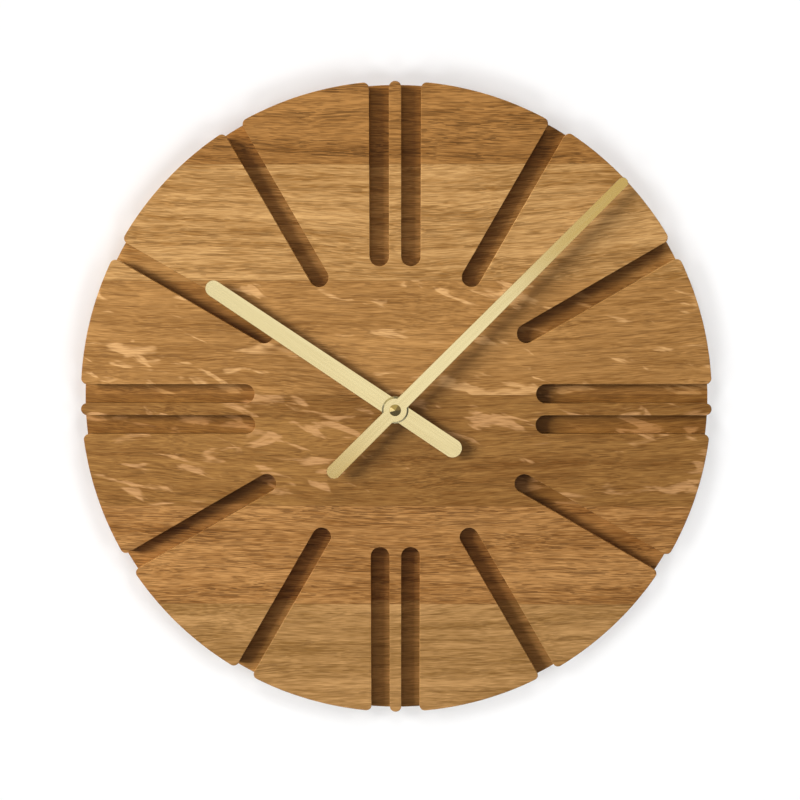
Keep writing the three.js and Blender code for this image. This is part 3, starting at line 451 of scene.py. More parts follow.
@dataclass(frozen=True)
class TurnedBrass:
    """Brass bar, turned on a lathe: rings of fine grooves that catch the light in bright wedges."""

    name: str = "turned_brass"
    colour: str = "#e0c98a"
    pitch: float = 0.35 * MM
    groove: float = 0.002 * MM
    shown: float = 0.3

    def make(self) -> Material:
        """Builds the turned brass.

        Tool marks are about 0.05 mm apart, too fine for the picture, so they are drawn wider.

        Returns:
            The material.
        """
        shader = Shader(self.name, self.colour, Metallic=1.0, Roughness=0.12)
        parts = [shader.add(step, shader.place) for step in (Step.READ_X, Step.READ_Z)]
        across, up = (shader.add(Step.MULTIPLY, part, part) for part in parts)
        radius = shader.add(Step.ROOT, shader.add(Step.ADD, across, up))
        shader.ridge(radius, self.pitch, self.groove, self.shown)
        return shader.material


@dataclass(frozen=True)
class PlatedSteel:
    """Steel sheet or wire, plated: a cool metal with a faint mottle in its sheen, about 4 mm across."""

    name: str
    colour: str
    roughness: float
    mottle: Mottle = Mottle((3.846, 3.846, 3.846), 3)
    smoother: float = 0.06
    rougher: float = 0.1

    def make(self) -> Material:
        """Builds the plated steel.

        Returns:
            The material.
        """
        shader = Shader(self.name, self.colour, Metallic=1.0, Roughness=self.roughness)
        smooth, rough = self.roughness - self.smoother, self.roughness + self.rougher
        shader.mottle_sheen(self.mottle, shader.place, smooth, rough)
        return shader.material


@dataclass(frozen=True)
class MouldedPlastic:
    """Thermoplastic, injection moulded in an eroded mould: an even surface with a very fine grain."""

    name: str
    colour: str
    roughness: float
    grain: Mottle = Mottle((0.4, 0.4, 0.4), 1)
    depth: float = 0.01 * MM

    def make(self) -> Material:
        """Builds the plastic.

        Returns:
            The material.
        """
        shader = Shader(self.name, self.colour, Roughness=self.roughness, IOR=1.53)
        texture = shader.mottled(self.grain, shader.place)
        shader.wire("Normal", shader.add(Step.RELIEF, texture, self.depth, FINE_RELIEF))
        return shader.material


@dataclass(frozen=True)
class PlainFinish:
    """A cast, sintered or painted surface: one even colour, with a mottle in its sheen about 6 mm across."""

    name: str
    colour: str
    roughness: float
    mottle: Mottle = Mottle((5.556, 5.556, 5.556), 2)
    swing: float = 0.04

    def make(self) -> Material:
        """Builds the finish.

        Returns:
            The material.
        """
        shader = Shader(self.name, self.colour, Roughness=self.roughness, IOR=1.5)
        smooth, rough = self.roughness - self.swing, self.roughness + self.swing
        shader.mottle_sheen(self.mottle, shader.place, smooth, rough)
        return shader.material


@dataclass(frozen=True)
class WoundCopper:
    """Enamelled copper wire, wound on a bobbin: close turns with a warm varnished gloss."""

    name: str = "enamelled_copper_wire"
    colour: str = "#b8693a"
    pitch: float = 0.4 * MM
    depth: float = 0.05 * MM
    shown: float = 0.8

    def make(self) -> Material:
        """Builds the winding.

        The real wire is 0.05 mm thick, too fine for the picture, so its turns are drawn wider.

        Returns:
            The material.
        """
        shader = Shader(self.name, self.colour, Metallic=1.0, Roughness=0.32)
        shader.ridge(shader.add(Step.READ_X, shader.place), self.pitch, self.depth, self.shown)
        return shader.material


@dataclass(frozen=True)
class SleevedCell:
    """A steel cell in a shrunk sleeve: a glossy body with one plain band and bare plated ends."""

    length: float
    name: str = "printed_battery_sleeve"
    body: str = "#24427c"
    band: str = "#c9a356"
    bare: str = "#c9cbce"
    band_length: float = 13 * MM
    bare_length: float = 0.9 * MM
    nub_length: float = 1 * MM

    def make(self) -> Material:
        """Builds the cell's finish.

        Returns:
            The material.
        """
        shader = Shader(self.name, self.body, Roughness=0.28, IOR=1.5)
        across = shader.add(Step.READ_X, shader.place)
        end = self.length / 2
        shoulder = end - self.nub_length - self.bare_length
        banded = shader.add(Step.ABOVE, across, shoulder - self.band_length)
        plus = shader.add(Step.ABOVE, across, shoulder)
        minus = shader.add(Step.BELOW, across, self.bare_length - end)
        metal = shader.add(Step.LARGER, plus, minus)
        colour = shader.add(Step.MIX, banded, self.body, self.band)
        shader.wire("Base Color", shader.add(Step.MIX, metal, colour, self.bare))
        shader.wire("Metallic", metal)
        return shader.material


# Outlines


def arc(centre: Point, radius: float, start: float, end: float, steps: int) -> Outline:
    """Points along an arc, both ends included.

    Args:
        centre: The arc's centre.
        radius: The arc's radius.
        start: The angle of the first point, in radians.
        end: The angle of the last point, in radians.
        steps: How many parts the arc is cut into.

    Returns:
        The points in order.
    """
    angles = [start + (end - start) * step / steps for step in range(steps + 1)]
    return [(centre[0] + radius * math.cos(a), centre[1] + radius * math.sin(a)) for a in angles]


def circle(centre: Point, radius: float, steps: int, start: float = 0.0) -> Outline:
    """Even points round a circle.

    Args:
        centre: The circle's centre.
        radius: The circle's radius.
        steps: How many points there are.
        start: The angle of the first point, in radians.

    Returns:
        The points, anticlockwise.
    """
    return arc(centre, radius, start, start + 2 * math.pi, steps)[:-1]


def rounded_rectangle(centre: Point, width: float, height: float, corner: float, steps: int = 10) -> Outline:
    """An upright rectangle with rounded corners.

    Args:
        centre: Its middle.
        width: Its size from left to right.
        height: Its size from bottom to top.
        corner: The radius of its corners.
        steps: How many parts each corner has.

    Returns:
        The points, anticlockwise.
    """
    x, z = width / 2 - corner, height / 2 - corner
    quarter = math.pi / 2
    outline: Outline = []
    for number, (side, rise) in enumerate(((1, -1), (1, 1), (-1, 1), (-1, -1))):
        middle = (centre[0] + side * x, centre[1] + rise * z)
        outline += arc(middle, corner, (number - 1) * quarter, number * quarter, steps)
    return outline


def turned_clockwise(outline: Outline, angle: float) -> Outline:
    """The outline turned clockwise about the dial's centre.

    Args:
        outline: The points.
        angle: How far they turn, in radians.

    Returns:
        The turned points, in the same order.
    """
    c, s = math.cos(angle), math.sin(angle)
    return [(x * c + z * s, z * c - x * s) for x, z in outline]


def mirrored(path: Outline) -> Outline:
    """The path mirrored from side to side.

    Args:
        path: The points.

    Returns:
        The mirrored points, last one first, which keeps the path's sense of turn.
    """
    return [(-x, z) for x, z in reversed(path)]


def inset(outline: Outline, distance: float) -> Outline:
    """The outline moved inwards.

    Args:
        outline: The points, anticlockwise.
        distance: How far each side moves.

    Returns:
        As many points as before.
    """
    moved: Outline = []
    for number, point in enumerate(outline):
        before, after = outline[number - 1], outline[(number + 1) % len(outline)]
        first = Vector((before[1] - point[1], point[0] - before[0])).normalized()
        second = Vector((point[1] - after[1], after[0] - point[0])).normalized()
        middle = (first + second).normalized()
        # A sharp corner moves by no more than twice the distance.
        reach = distance / max(0.5, middle.dot(first))
        moved.append((point[0] + middle.x * reach, point[1] + middle.y * reach))
    return moved


def edge_steps(radius: float, steps: int = 4) -> list[Point]:
    """How far in and how deep a rounded edge is, from its flat to its side.

    Args:
        radius: The edge's radius.
        steps: How many parts it has.

    Returns:
        Pairs of inset and depth.
    """
    if radius <= 0:
        return [(0.0, 0.0)]
    angles = [math.pi / 2 * step / steps for step in range(steps + 1)]
    return [(radius * (1 - math.sin(a)), radius * (1 - math.cos(a))) for a in angles]


def edge_levels(outline: Outline, depth: float, radius: float, backwards: int = 1) -> list[Level]:
    """A rounded edge as outlines, from its flat to its side.

    Args:
        outline: The piece's outline, anticlockwise.
        depth: The depth of the flat.
        radius: The edge's radius.
        backwards: 1 where the side lies behind the flat, and -1 where it lies before it.

    Returns:
        Pairs of outline and depth.
    """
    return [(inset(outline, inwards), depth + backwards * deep) for inwards, deep in edge_steps(radius)]


# Solids


def as_piece(name: str, mesh: Mesh, smooth_below: float = SMOOTH_BELOW) -> Piece:
    """Turns a mesh into a piece in the scene.

    Args:
        name: The piece's name.
        mesh: Its faces, freed afterwards.
        smooth_below: Edges that turn by less than this, in degrees, are shaded smooth.

    Returns:
        The new piece.
    """
    bmesh.ops.remove_doubles(mesh, verts=mesh.verts, dist=SAME_POINT)
    bmesh.ops.recalc_face_normals(mesh, faces=mesh.faces)
    data = bpy.data.meshes.new(name)
    mesh.to_mesh(data)
    mesh.free()
    piece = bpy.data.objects.new(name, data)
    bpy.context.scene.collection.objects.link(piece)
    shade(piece, smooth_below)
    return piece


def shade(piece: Piece, smooth_below: float) -> None:
    """Shades a piece smooth apart from its sharp edges.

    Args:
        piece: The piece.
        smooth_below: Edges that turn by less than this, in degrees, are shaded smooth.
    """
    piece.data.shade_smooth()
    piece.data.set_sharp_from_angle(angle=math.radians(smooth_below))


def hoop(mesh: Mesh, outline: Outline, depth: float) -> Hoop:
    """Adds an outline's points at one depth.

    Args:
        mesh: The mesh that takes the points.
        outline: Where they are on the dial.
        depth: How deep they lie.

    Returns:
        The new points.
    """
    return [mesh.verts.new((x, depth, z)) for x, z in outline]


def cap(mesh: Mesh, points: Hoop) -> None:
    """Closes a flat hoop of points with triangles.

    Args:
        mesh: The mesh that takes the triangles.
        points: The hoop.
    """
    face = mesh.faces.new(points)
    face.normal_update()
    bmesh.ops.triangulate(mesh, faces=[face], ngon_method="EAR_CLIP")


def stack(mesh: Mesh, levels: Sequence[Level]) -> list[Hoop]:
    """Adds outlines of as many points, and joins each to the next with faces.

    Args:
        mesh: The mesh that takes the faces.
        levels: Pairs of outline and depth.

    Returns:
        The points of each outline.
    """
    hoops = [hoop(mesh, outline, depth) for outline, depth in levels]
    for front, back in zip(hoops, hoops[1:]):
        for number, point in enumerate(front):
            mesh.faces.new((front[number - 1], back[number - 1], back[number], point))
    return hoops


def solid(name: str, levels: Sequence[Level]) -> Piece:
    """A piece through outlines of as many points, closed at both ends.

    Args:
        name: The piece's name.
        levels: Pairs of outline and depth, from front to back.

    Returns:
        The new piece.
    """
    mesh = bmesh.new()
    hoops = stack(mesh, levels)
    cap(mesh, hoops[0])
    cap(mesh, hoops[-1][::-1])
    return as_piece(name, mesh)


def plate(
    name: str, outline: Outline, front: float, back: float, front_edge: float = 0.0, back_edge: float = 0.0
) -> Piece:
    """A flat piece with rounded edges.

    Args:
        name: The piece's name.
        outline: Its outline, anticlockwise.
        front: The depth of its front face.
        back: The depth of its back face.
        front_edge: The radius of its front edges.
        back_edge: The radius of its back edges.

    Returns:
        The new piece.
    """
    behind = edge_levels(outline, back, back_edge, -1)
    return solid(name, [*edge_levels(outline, front, front_edge), *reversed(behind)])


def turned(
    name: str,
    profile: Profile,
    axis: Point = (0.0, 0.0),
    segments: int = Parts.PIECE,
    smooth_below: float = SMOOTH_BELOW,
) -> Piece:
    """A piece turned about an axis along the depth.

    Args:
        name: The piece's name.
        profile: Pairs of radius and depth, from front to back, that start and end on the axis.
        axis: Where the axis crosses the dial.
        segments: How many parts a whole turn has.
        smooth_below: Edges that turn by less than this, in degrees, are shaded smooth.

    Returns:
        The new piece.
    """
    mesh = bmesh.new()
    rows = [
        hoop(mesh, circle(axis, radius, segments) if radius > 0 else [axis], depth) for radius, depth in profile
    ]
    for first, second in zip(rows, rows[1:]):
        for number in range(segments):
            after = (number + 1) % segments
            corners = [first[number % len(first)], second[number % len(second)]]
            corners += [second[after % len(second)], first[after % len(first)]]
            unique = list(dict.fromkeys(corners))
            if len(unique) > 2:
                mesh.faces.new(unique)
    return as_piece(name, mesh, smooth_below)


def rod(
    name: str,
    radius: float,
    front: float,
    back: float,
    axis: Point = (0.0, 0.0),
    segments: int = Parts.PIECE,
) -> Piece:
    """A plain round rod along the depth.

    Args:
        name: The piece's name.
        radius: Its radius.
        front: The depth of its front end.
        back: The depth of its back end.
        axis: Where its axis crosses the dial.
        segments: How many parts a whole turn has.

    Returns:
        The new piece.
    """
    return turned(name, [(0.0, front), (radius, front), (radius, back), (0.0, back)], axis, segments)


def shaped(piece: Piece, change: Cut, others: Sequence[Piece], smooth_below: float = SMOOTH_BELOW) -> None:
    """Joins other solids to a piece, or cuts it by them, and removes them.

    Args:
        piece: The piece that changes.
        change: What the others do to it.
        others: The other solids.
        smooth_below: Edges that turn by less than this, in degrees, are shaded smooth.
    """
    for other in others:
        modifier = piece.modifiers.new("shape", "BOOLEAN")
        modifier.operation, modifier.object, modifier.solver = change.value, other, "MANIFOLD"
    bpy.context.view_layer.update()
    made = piece.evaluated_get(bpy.context.evaluated_depsgraph_get())
    data = bpy.data.meshes.new_from_object(made)
    if not data.polygons:
        raise ValueError(f"{piece.name} has no faces left after a cut")
    piece.modifiers.clear()
    old, piece.data = piece.data, data
    data.name = piece.name
    bpy.data.meshes.remove(old)
    for other in others:
        bpy.data.objects.remove(other)
    shade(piece, smooth_below)


def dress(piece: Piece, material: Material, body: str, replaces: Sequence[str]) -> None:
    """Gives a piece its finish and ties it to its body.

    Args:
        piece: The piece.
        material: Its material.
        body: The body that it moves with.
        replaces: The solids that it stands for.
    """
    piece.data.materials.clear()
    piece.data.materials.append(material)
    weighted = piece.modifiers.new("even_shading", "WEIGHTED_NORMAL")
    weighted.keep_sharp = True
    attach(piece, body)
    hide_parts(*replaces)
    log.info("%s: %d faces", piece.name, len(piece.data.polygons))


def dress_node(name: str, material: Material, edge: float = 0.0) -> None:
    """Gives a solid of the model its finish, and eases its edges.

    Args:
        name: The solid's name.
        material: Its material.
        edge: The width of the eased edges.
    """
    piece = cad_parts[name]
    piece.data.materials.clear()
    piece.data.materials.append(material)
    if edge:
        bevel = piece.modifiers.new("eased_edges", "BEVEL")
        bevel.width, bevel.segments, bevel.angle_limit = edge, 2, math.radians(EASED_ABOVE)
        bevel.harden_normals = True
    log.info("%s: kept", name)


# Sub-assemblies


@dataclass
class Hanger:
    """The keyhole plate let into the back of the dial, and its two screws."""

    height: float = 108 * MM
    width: float = 18 * MM
    length: float = 44 * MM
    thickness: float = 2 * MM
    clearance: float = 0.3 * MM
    head_diameter: float = 10 * MM
    shank_width: float = 5 * MM
    travel: float = 12 * MM
    room_width: float = 12 * MM
    room_depth: float = 6 * MM
    room_corner: float = 5.4 * MM
    edge: float = 0.25 * MM
    screw_spacing: float = 35 * MM
    screw_head: float = 6 * MM
    screw_shank: float = 3 * MM
    screw_length: float = 12 * MM
    screw_clearance: float = 0.1 * MM
    screw_tip: float = 0.2 * MM
    head_rim: float = 0.2 * MM
    head_edge: float = 0.1 * MM
    thread_pitch: float = 1.2 * MM
    thread_depth: float = 0.35 * MM
    cross_width: float = 0.56 * MM
    cross_reach: float = 1.7 * MM
    cross_foot: float = 0.595 * MM
    cross_depth: float = 1.5 * MM
    entry_steps: int = 40
    slot_steps: int = 20

    def outline(self, clearance: float) -> Outline:
        """The plate's outline, grown by a clearance."""
        width, length = self.width + 2 * clearance, self.length + 2 * clearance
        return rounded_rectangle((0.0, self.height), width, length, width / 4)

    def keyhole(self) -> Outline:
        """The round entry with the narrow slot above it.

        Returns:
            The points, anticlockwise.
        """
        head, shank = self.head_diameter / 2, self.shank_width / 2
        lean = math.asin(shank / head)
        low, high = self.height - self.travel / 2, self.height + self.travel / 2
        entry = arc((0.0, low), head, math.pi / 2 + lean, 2.5 * math.pi - lean, self.entry_steps)
        return entry + arc((0.0, high), shank, 0, math.pi, self.slot_steps)

    def screw_places(self) -> list[float]:
        """The heights of the two screws."""
        return [self.height - self.screw_spacing / 2, self.height + self.screw_spacing / 2]

    def screw_hole(self, height: float) -> Piece:
        """The countersunk hole at a height, run out past the back.

        Args:
            height: The screw's height.

        Returns:
            The solid that cuts the hole.
        """
        head = self.screw_head / 2 + self.screw_clearance
        shank = self.screw_shank / 2 + self.screw_clearance
        end = -self.screw_length - self.screw_clearance
        profile = [(0.0, end), (shank, end + self.screw_shank), (shank, shank - head), (head, 0.0)]
        return turned("screw_hole", [*profile, (head, PAST), (0.0, PAST)], (0.0, height), Parts.SCREW)

    def recess(self) -> list[Piece]:
        """The cuts in the back of the dial for the plate, a wall screw's head, and the plate's screws.

        Returns:
            The solids that make the cuts.
        """
        seat = plate("plate_seat", self.outline(self.clearance), -self.thickness, PAST)
        long_side = self.travel + self.room_width
        outline = rounded_rectangle((0.0, self.height), self.room_width, long_side, self.room_corner)
        room = plate("head_room", outline, -self.thickness - self.room_depth, PAST)
        return [seat, room, *(self.screw_hole(height) for height in self.screw_places())]

    def screw(self, name: str, height: float) -> Piece:
        """A countersunk wood screw with a rolled thread and a cross recess.

        Args:
            name: The screw's name.
            height: Its height.

        Returns:
            The screw.
        """
        head, shank = self.screw_head / 2, self.screw_shank / 2
        root = shank - self.thread_depth
        neck = shank - head
        profile: Profile = [(0.0, -self.screw_length), (self.screw_tip, -self.screw_length)]
        depth = -self.screw_length + self.screw_shank
        while depth < neck - self.thread_pitch:
            profile += [(root, depth), (shank, depth + self.thread_pitch / 2)]
            depth += self.thread_pitch
        profile += [(root, depth), (shank, neck), (head, -self.head_rim), (head - self.head_edge, 0.0)]
        screw = turned(name, [*profile, (0.0, 0.0)], (0.0, height), Parts.SCREW)
        shaped(screw, Cut.REMOVE, [self.cross(height)])
        return screw

    def cross(self, height: float) -> Piece:
        """The tapered cross that takes the screwdriver.

        Args:
            height: The screw's height.

        Returns:
            The solid that cuts it.
        """
        half = self.cross_width / 2
        levels: list[Level] = []
        for reach, depth in (
            (self.cross_foot, -self.cross_depth),
            (self.cross_reach, 0.0),
            (self.cross_reach, PAST),
        ):
            arm = [(reach, -half), (reach, half), (half, half)]
            arms = [point for turn in range(4) for point in turned_clockwise(arm, -turn * math.pi / 2)]
            levels.append(([(x, z + height) for x, z in arms], depth))
        return solid("cross", levels)

    def build(self, steel: Material) -> None:
        """Builds the plate and its screws.

        Args:
            steel: Their finish.
        """
        body = plate("keyhole_plate", self.outline(0.0), -self.thickness, 0.0, self.edge, self.edge)
        hole = plate("keyhole", self.keyhole(), -self.thickness - PAST, PAST)
        shaped(body, Cut.REMOVE, [hole, *(self.screw_hole(height) for height in self.screw_places())])
        dress(body, steel, "case", ["hanger_plate"])
        for number, height in enumerate(self.screw_places(), 1):
            screw = self.screw(f"plate_screw_{number}", height)
            dress(screw, steel, "case", [f"hanger_screw_{number}"])


@dataclass
class Dial:
    """The oak dial: six glued staves, routed with sixteen slots that run out through the rim."""

    hanger: Hanger
    radius: float = 170 * MM
    thickness: float = 24 * MM
    face_edge: float = 0.25 * MM
    back_edge: float = 0.8 * MM
    slot_width: float = 10.2 * MM
    slot_depth: float = 7.2 * MM
    slot_inner: float = 75.8 * MM
    mouth_radius: float = 3 * MM
    rib_width: float = 6.5 * MM
    pocket_size: float = 60 * MM
    pocket_corner: float = 6 * MM
    web: float = 5 * MM
    neck_radius: float = 4.25 * MM
    glue_lines: list[float] = field(
        default_factory=lambda: [height * MM for height in (-107.8, -52.8, 7.7, 68.5, 128.2)]
    )
    rim_step: float = math.radians(0.6)
    mouth_steps: int = 10
    quarter_steps: int = 16

    def notch(self, pair: bool) -> list[Outline]:
        """The slots at one hour, drawn at twelve, as paths from rim to rim.

        Args:
            pair: Whether there are two slots beside a rib.

        Returns:
            One path for each slot, anticlockwise round the dial.
        """
        half, corner, rib = self.slot_width / 2, self.mouth_radius, self.rib_width / 2
        middle = half + rib if pair else 0.0
        x = middle + half + corner
        z = math.sqrt((self.radius - corner) ** 2 - x**2)
        mouth = arc((x, z), corner, math.atan2(z, x), math.pi, self.mouth_steps)
        foot = arc((middle, self.slot_inner + half), half, 0, -math.pi, 2 * self.quarter_steps)
        if not pair:
            return [mouth + foot + mirrored(mouth)]
        rib_top = arc((0.0, self.radius - rib), rib, 0, math.pi / 2, self.quarter_steps)
        first = mouth + foot + rib_top
        return [first, mirrored(first)]

    def rim_points(self, start: Point, end: Point) -> Outline:
        """Points along the rim, anticlockwise, from one point to another.

        Args:
            start: The first point.
            end: The last point.

        Returns:
            The points, both ends included.
        """
        first = math.atan2(start[1], start[0])
        span = (math.atan2(end[1], end[0]) - first) % (2 * math.pi)
        steps = max(1, round(span / self.rim_step))
        return [start, *arc((0.0, 0.0), self.radius, first, first + span, steps)[1:-1], end]

    def blank(self) -> Piece:
        """The routed disc as one solid, before it is cut from behind.

        Returns:
            The disc.
        """
        notches = [
            [turned_clockwise(path, math.radians(30 * hour)) for path in self.notch(hour % 3 == 0)]
            for hour in range(12, -1, -1)
        ]
        face: Outline = []
        rim: Outline = []
        floors: list[Floor] = []
        for paths, following in zip(notches, notches[1:]):
            # The second slot of a pair starts on the point where the first one ends, so that one is shared.
            for shared, path in enumerate(paths):
                first_face, first_rim = len(face) - shared, len(rim) - shared
                face += path[shared:]
                rim += self.rim_points(path[0], path[-1])[shared:]
                floors.append((slice(first_face, len(face)), slice(first_rim + 1, len(rim) - 1)))
            plain = self.rim_points(face[-1], following[0][0])[1:-1]
            face += plain
            rim += plain
        return self.blank_mesh(face, rim, floors)

    def blank_mesh(self, face: Outline, rim: Outline, floors: Sequence[Floor]) -> Piece:
        """Builds the routed disc from its outlines.

        Args:
            face: The outline of the face, with the slots.
            rim: The full circle.
            floors: For each slot, its points of the face, and the points of the rim between its sides.

        Returns:
            The disc.
        """
        mesh = bmesh.new()
        front, floor = -self.thickness, self.slot_depth - self.thickness
        walls = stack(mesh, [*edge_levels(face, front, self.face_edge), (face, floor)])
        behind = edge_levels(rim, 0.0, self.back_edge, -1)
        sides = stack(mesh, [(rim, floor), *reversed(behind)])
        cap(mesh, walls[0])
        for inside, outside in floors:
            cap(mesh, sides[0][outside] + walls[-1][inside][::-1])
        cap(mesh, sides[-1][::-1])
        return as_piece("routed_disc", mesh)

    def pocket(self) -> list[Piece]:
        """The cuts for the movement's case and its neck.

        Returns:
            The solids that make the cuts.
        """
        floor = self.web - self.thickness
        outline = rounded_rectangle((0.0, 0.0), self.pocket_size, self.pocket_size, self.pocket_corner)
        neck = circle((0.0, 0.0), self.neck_radius, Parts.BORE)
        return [
            plate("case_pocket", outline, floor, PAST),
            plate("neck_hole", neck, -self.thickness - PAST, floor + PAST),
        ]

    def build(self, finishes: Sequence[Material]) -> None:
        """Builds the disc and cuts it into staves.

        Args:
            finishes: The oak of each stave, from the bottom up.
        """
        disc = self.blank()
        shaped(disc, Cut.REMOVE, [*self.pocket(), *self.hanger.recess()])
        reach = self.radius + PAST
        edges = [-reach, *self.glue_lines, reach]
        for number, (bottom, top) in enumerate(zip(edges, edges[1:]), 1):
            stave = disc.copy()
            stave.data = disc.data.copy()
            stave.name = stave.data.name = f"routed_stave_{number}"
            bpy.context.scene.collection.objects.link(stave)
            slab = [(-reach, bottom), (reach, bottom), (reach, top), (-reach, top)]
            shaped(stave, Cut.KEEP, [plate("slab", slab, -2 * self.thickness, self.thickness)])
            dress(stave, finishes[number - 1], "case", [f"oak_stave_{number}"])
        bpy.data.objects.remove(disc)


@dataclass
class Hand:
    """A flat hand: a tapered bar with full-round ends and a round boss, all cut from one sheet."""

    name: str
    node: str
    body: str
    angle: float
    length: float
    tail: float
    tip_width: float
    tail_width: float
    boss_diameter: float
    front: float
    bore_diameter: float
    thickness: float = 0.8 * MM
    edge: float = 0.12 * MM
    collet_diameter: float = 0.0
    collet_length: float = 0.0
    raised_height: float = 0.0
    raised_slope: float = 1.3 * MM
    end_steps: int = 24
    boss_steps: int = 32

    def outline(self) -> Outline:
        """The hand's outline, turned to where the hand points.

        Returns:
            The points, anticlockwise.
        """
        tip, end, boss = self.tip_width / 2, self.tail_width / 2, self.boss_diameter / 2
        high, low = self.length - tip, end - self.tail
        lean = math.asin((end - tip) / (high - low))
        upper = Vector((tip * math.cos(lean), high + tip * math.sin(lean)))
        lower = Vector((end * math.cos(lean), low + end * math.sin(lean)))
        along = (upper - lower).normalized()
        # The bar's side crosses the boss at the same reach above and below its point nearest the centre.
        nearest = lower - along * lower.dot(along)
        reach = math.sqrt(boss**2 - nearest.length_squared)
        first, last = (math.atan2(p.y, p.x) for p in (nearest - along * reach, nearest + along * reach))
        points = arc((0.0, high), tip, lean, math.pi - lean, self.end_steps)
        points += arc((0.0, 0.0), boss, math.pi - last, math.pi - first, self.boss_steps)
        points += arc((0.0, low), end, math.pi - lean, 2 * math.pi + lean, self.end_steps)
        points += arc((0.0, 0.0), boss, first, last, self.boss_steps)
        return turned_clockwise(points, self.angle)

    def build(self, brass: Material) -> None:
        """Builds the hand.

        Args:
            brass: Its finish.
        """
        middle, back = self.front + self.thickness / 2, self.front + self.thickness
        end = back + self.collet_length
        hand = plate(self.name, self.outline(), self.front, back, self.edge, self.edge)
        if self.collet_length:
            shaped(hand, Cut.JOIN, [rod("collet", self.collet_diameter / 2, middle, end)])
        if self.raised_height:
            radius, top = self.boss_diameter / 2, self.front - self.raised_height
            flat, rim = radius - self.raised_slope, radius - self.edge
            profile = [(0.0, top), (flat, top), (rim, self.front), (rim, middle), (0.0, middle)]
            shaped(hand, Cut.JOIN, [turned("pressed_boss", profile)])
        bore = rod("bore", self.bore_diameter / 2, self.front - PAST, end + PAST, segments=Parts.BORE)
        shaped(hand, Cut.REMOVE, [bore], CRISP_SMOOTH_BELOW)
        dress(hand, brass, self.body, [self.node])


@dataclass
class CapNut:
    """The turned nut that holds the minute hand on its stud: a low cone on a short rim."""

    seat: float = -31.6 * MM
    diameter: float = 6.2 * MM
    rim: float = 1 * MM
    cone: float = 1.2 * MM
    tip_share: float = 0.02
    bore_diameter: float = 2.3 * MM
    bore_depth: float = 1.4 * MM
    edge: float = 0.08 * MM

    def build(self, brass: Material) -> None:
        """Builds the nut.

        Args:
            brass: Its finish.
        """
        radius, bore, tip = self.diameter / 2, self.bore_diameter / 2, self.tip_share
        front, floor = self.seat - self.rim, self.seat - self.bore_depth
        profile = [
            (0.0, front - self.cone),
            (radius * tip, front - self.cone * (1 - tip)),
            (radius - self.edge, front),
            (radius, front + self.edge),
            (radius, self.seat - self.edge),
            (radius - self.edge, self.seat),
            (bore, self.seat),
            (bore, floor),
            (0.0, floor),
        ]
        nut = turned("cone_cap_nut", profile, segments=Parts.CAP, smooth_below=CRISP_SMOOTH_BELOW)
        dress(nut, brass, "minute", ["cap_nut"])


@dataclass
class CentreFixing:
    """The gasket, the washer and the chamfered hex nut that clamp the movement's neck to the dial."""

    washer_front: float = -24.5 * MM
    washer_edge: float = 0.1 * MM
    nut_height: float = 2 * MM
    across_flats: float = 11 * MM
    bore_diameter: float = 8.1 * MM
    face_share: float = 0.97
    chamfer_rise: float = 0.55

    def build(self, brass: Material, rubber: Material) -> None:
        """Builds the nut and dresses the washer and the gasket.

        Args:
            brass: The finish of the nut and the washer.
            rubber: The finish of the gasket.
        """
        corner = self.across_flats / math.sqrt(3)
        front, back = self.washer_front - self.nut_height, self.washer_front
        nut = plate("chamfered_nut", circle((0.0, 0.0), corner, 6, math.pi / 6), front, back)
        flat = self.across_flats / 2 * self.face_share
        rise = (corner - flat) * self.chamfer_rise
        widest = corner + rise
        profile = [(0.0, front), (flat, front), (widest, front + 2 * rise), (widest, back - 2 * rise)]
        shaped(nut, Cut.KEEP, [turned("cones", [*profile, (flat, back), (0.0, back)])])
        bore = circle((0.0, 0.0), self.bore_diameter / 2, Parts.BORE)
        shaped(nut, Cut.REMOVE, [plate("nut_bore", bore, front - PAST, back + PAST)])
        dress(nut, brass, "case", ["hex_nut"])
        dress_node("front_washer", brass, self.washer_edge)
        dress_node("rubber_gasket", rubber)


@dataclass
class SettingKnob:
    """The ridged knob in the cover's dish, which turns the hands from behind."""

    axis: Point = (10 * MM, 0.0)
    diameter: float = 10 * MM
    front: float = -3.1 * MM
    thickness: float = 1.8 * MM
    ridges: int = 14
    ridge_depth: float = 0.35 * MM
    ridge_steps: int = 16
    edge: float = 0.3 * MM
    rim_width: float = 1.2 * MM
    dish_slope: float = 0.4 * MM
    dish_depth: float = 0.3 * MM
    stem_diameter: float = 1.2 * MM
    stem_end: float = -1.8 * MM

    def outline(self) -> Outline:
        """The knob's outline, with rounded ridges and narrow grooves between them.

        Returns:
            The points, anticlockwise.
        """
        steps = self.ridges * self.ridge_steps
        points: Outline = []
        for step in range(steps):
            turn = 2 * math.pi * step / steps
            groove = (0.5 - 0.5 * math.cos(self.ridges * turn)) ** 2
            radius = self.diameter / 2 - self.ridge_depth * groove
            points.append((self.axis[0] + radius * math.cos(turn), self.axis[1] + radius * math.sin(turn)))
        return points

    def build(self, plastic: Material) -> None:
        """Builds the knob.

        Args:
            plastic: Its finish.
        """
        back = self.front + self.thickness
        knob = plate("ridged_knob", self.outline(), self.front, back, self.edge / 2, self.edge)
        rim, floor = self.diameter / 2 - self.rim_width, back - self.dish_depth
        foot = rim - self.dish_slope
        dish = [(0.0, floor), (foot, floor), (rim, back), (rim, back + PAST), (0.0, back + PAST)]
        socket_front, stem = self.front - PAST, self.stem_diameter / 2
        socket = rod("socket", stem, socket_front, self.stem_end, self.axis, Parts.STEM)
        shaped(knob, Cut.REMOVE, [socket, turned("dish", dish, self.axis, Parts.BORE)])
        dress(knob, plastic, "motion", ["setting_knob"])


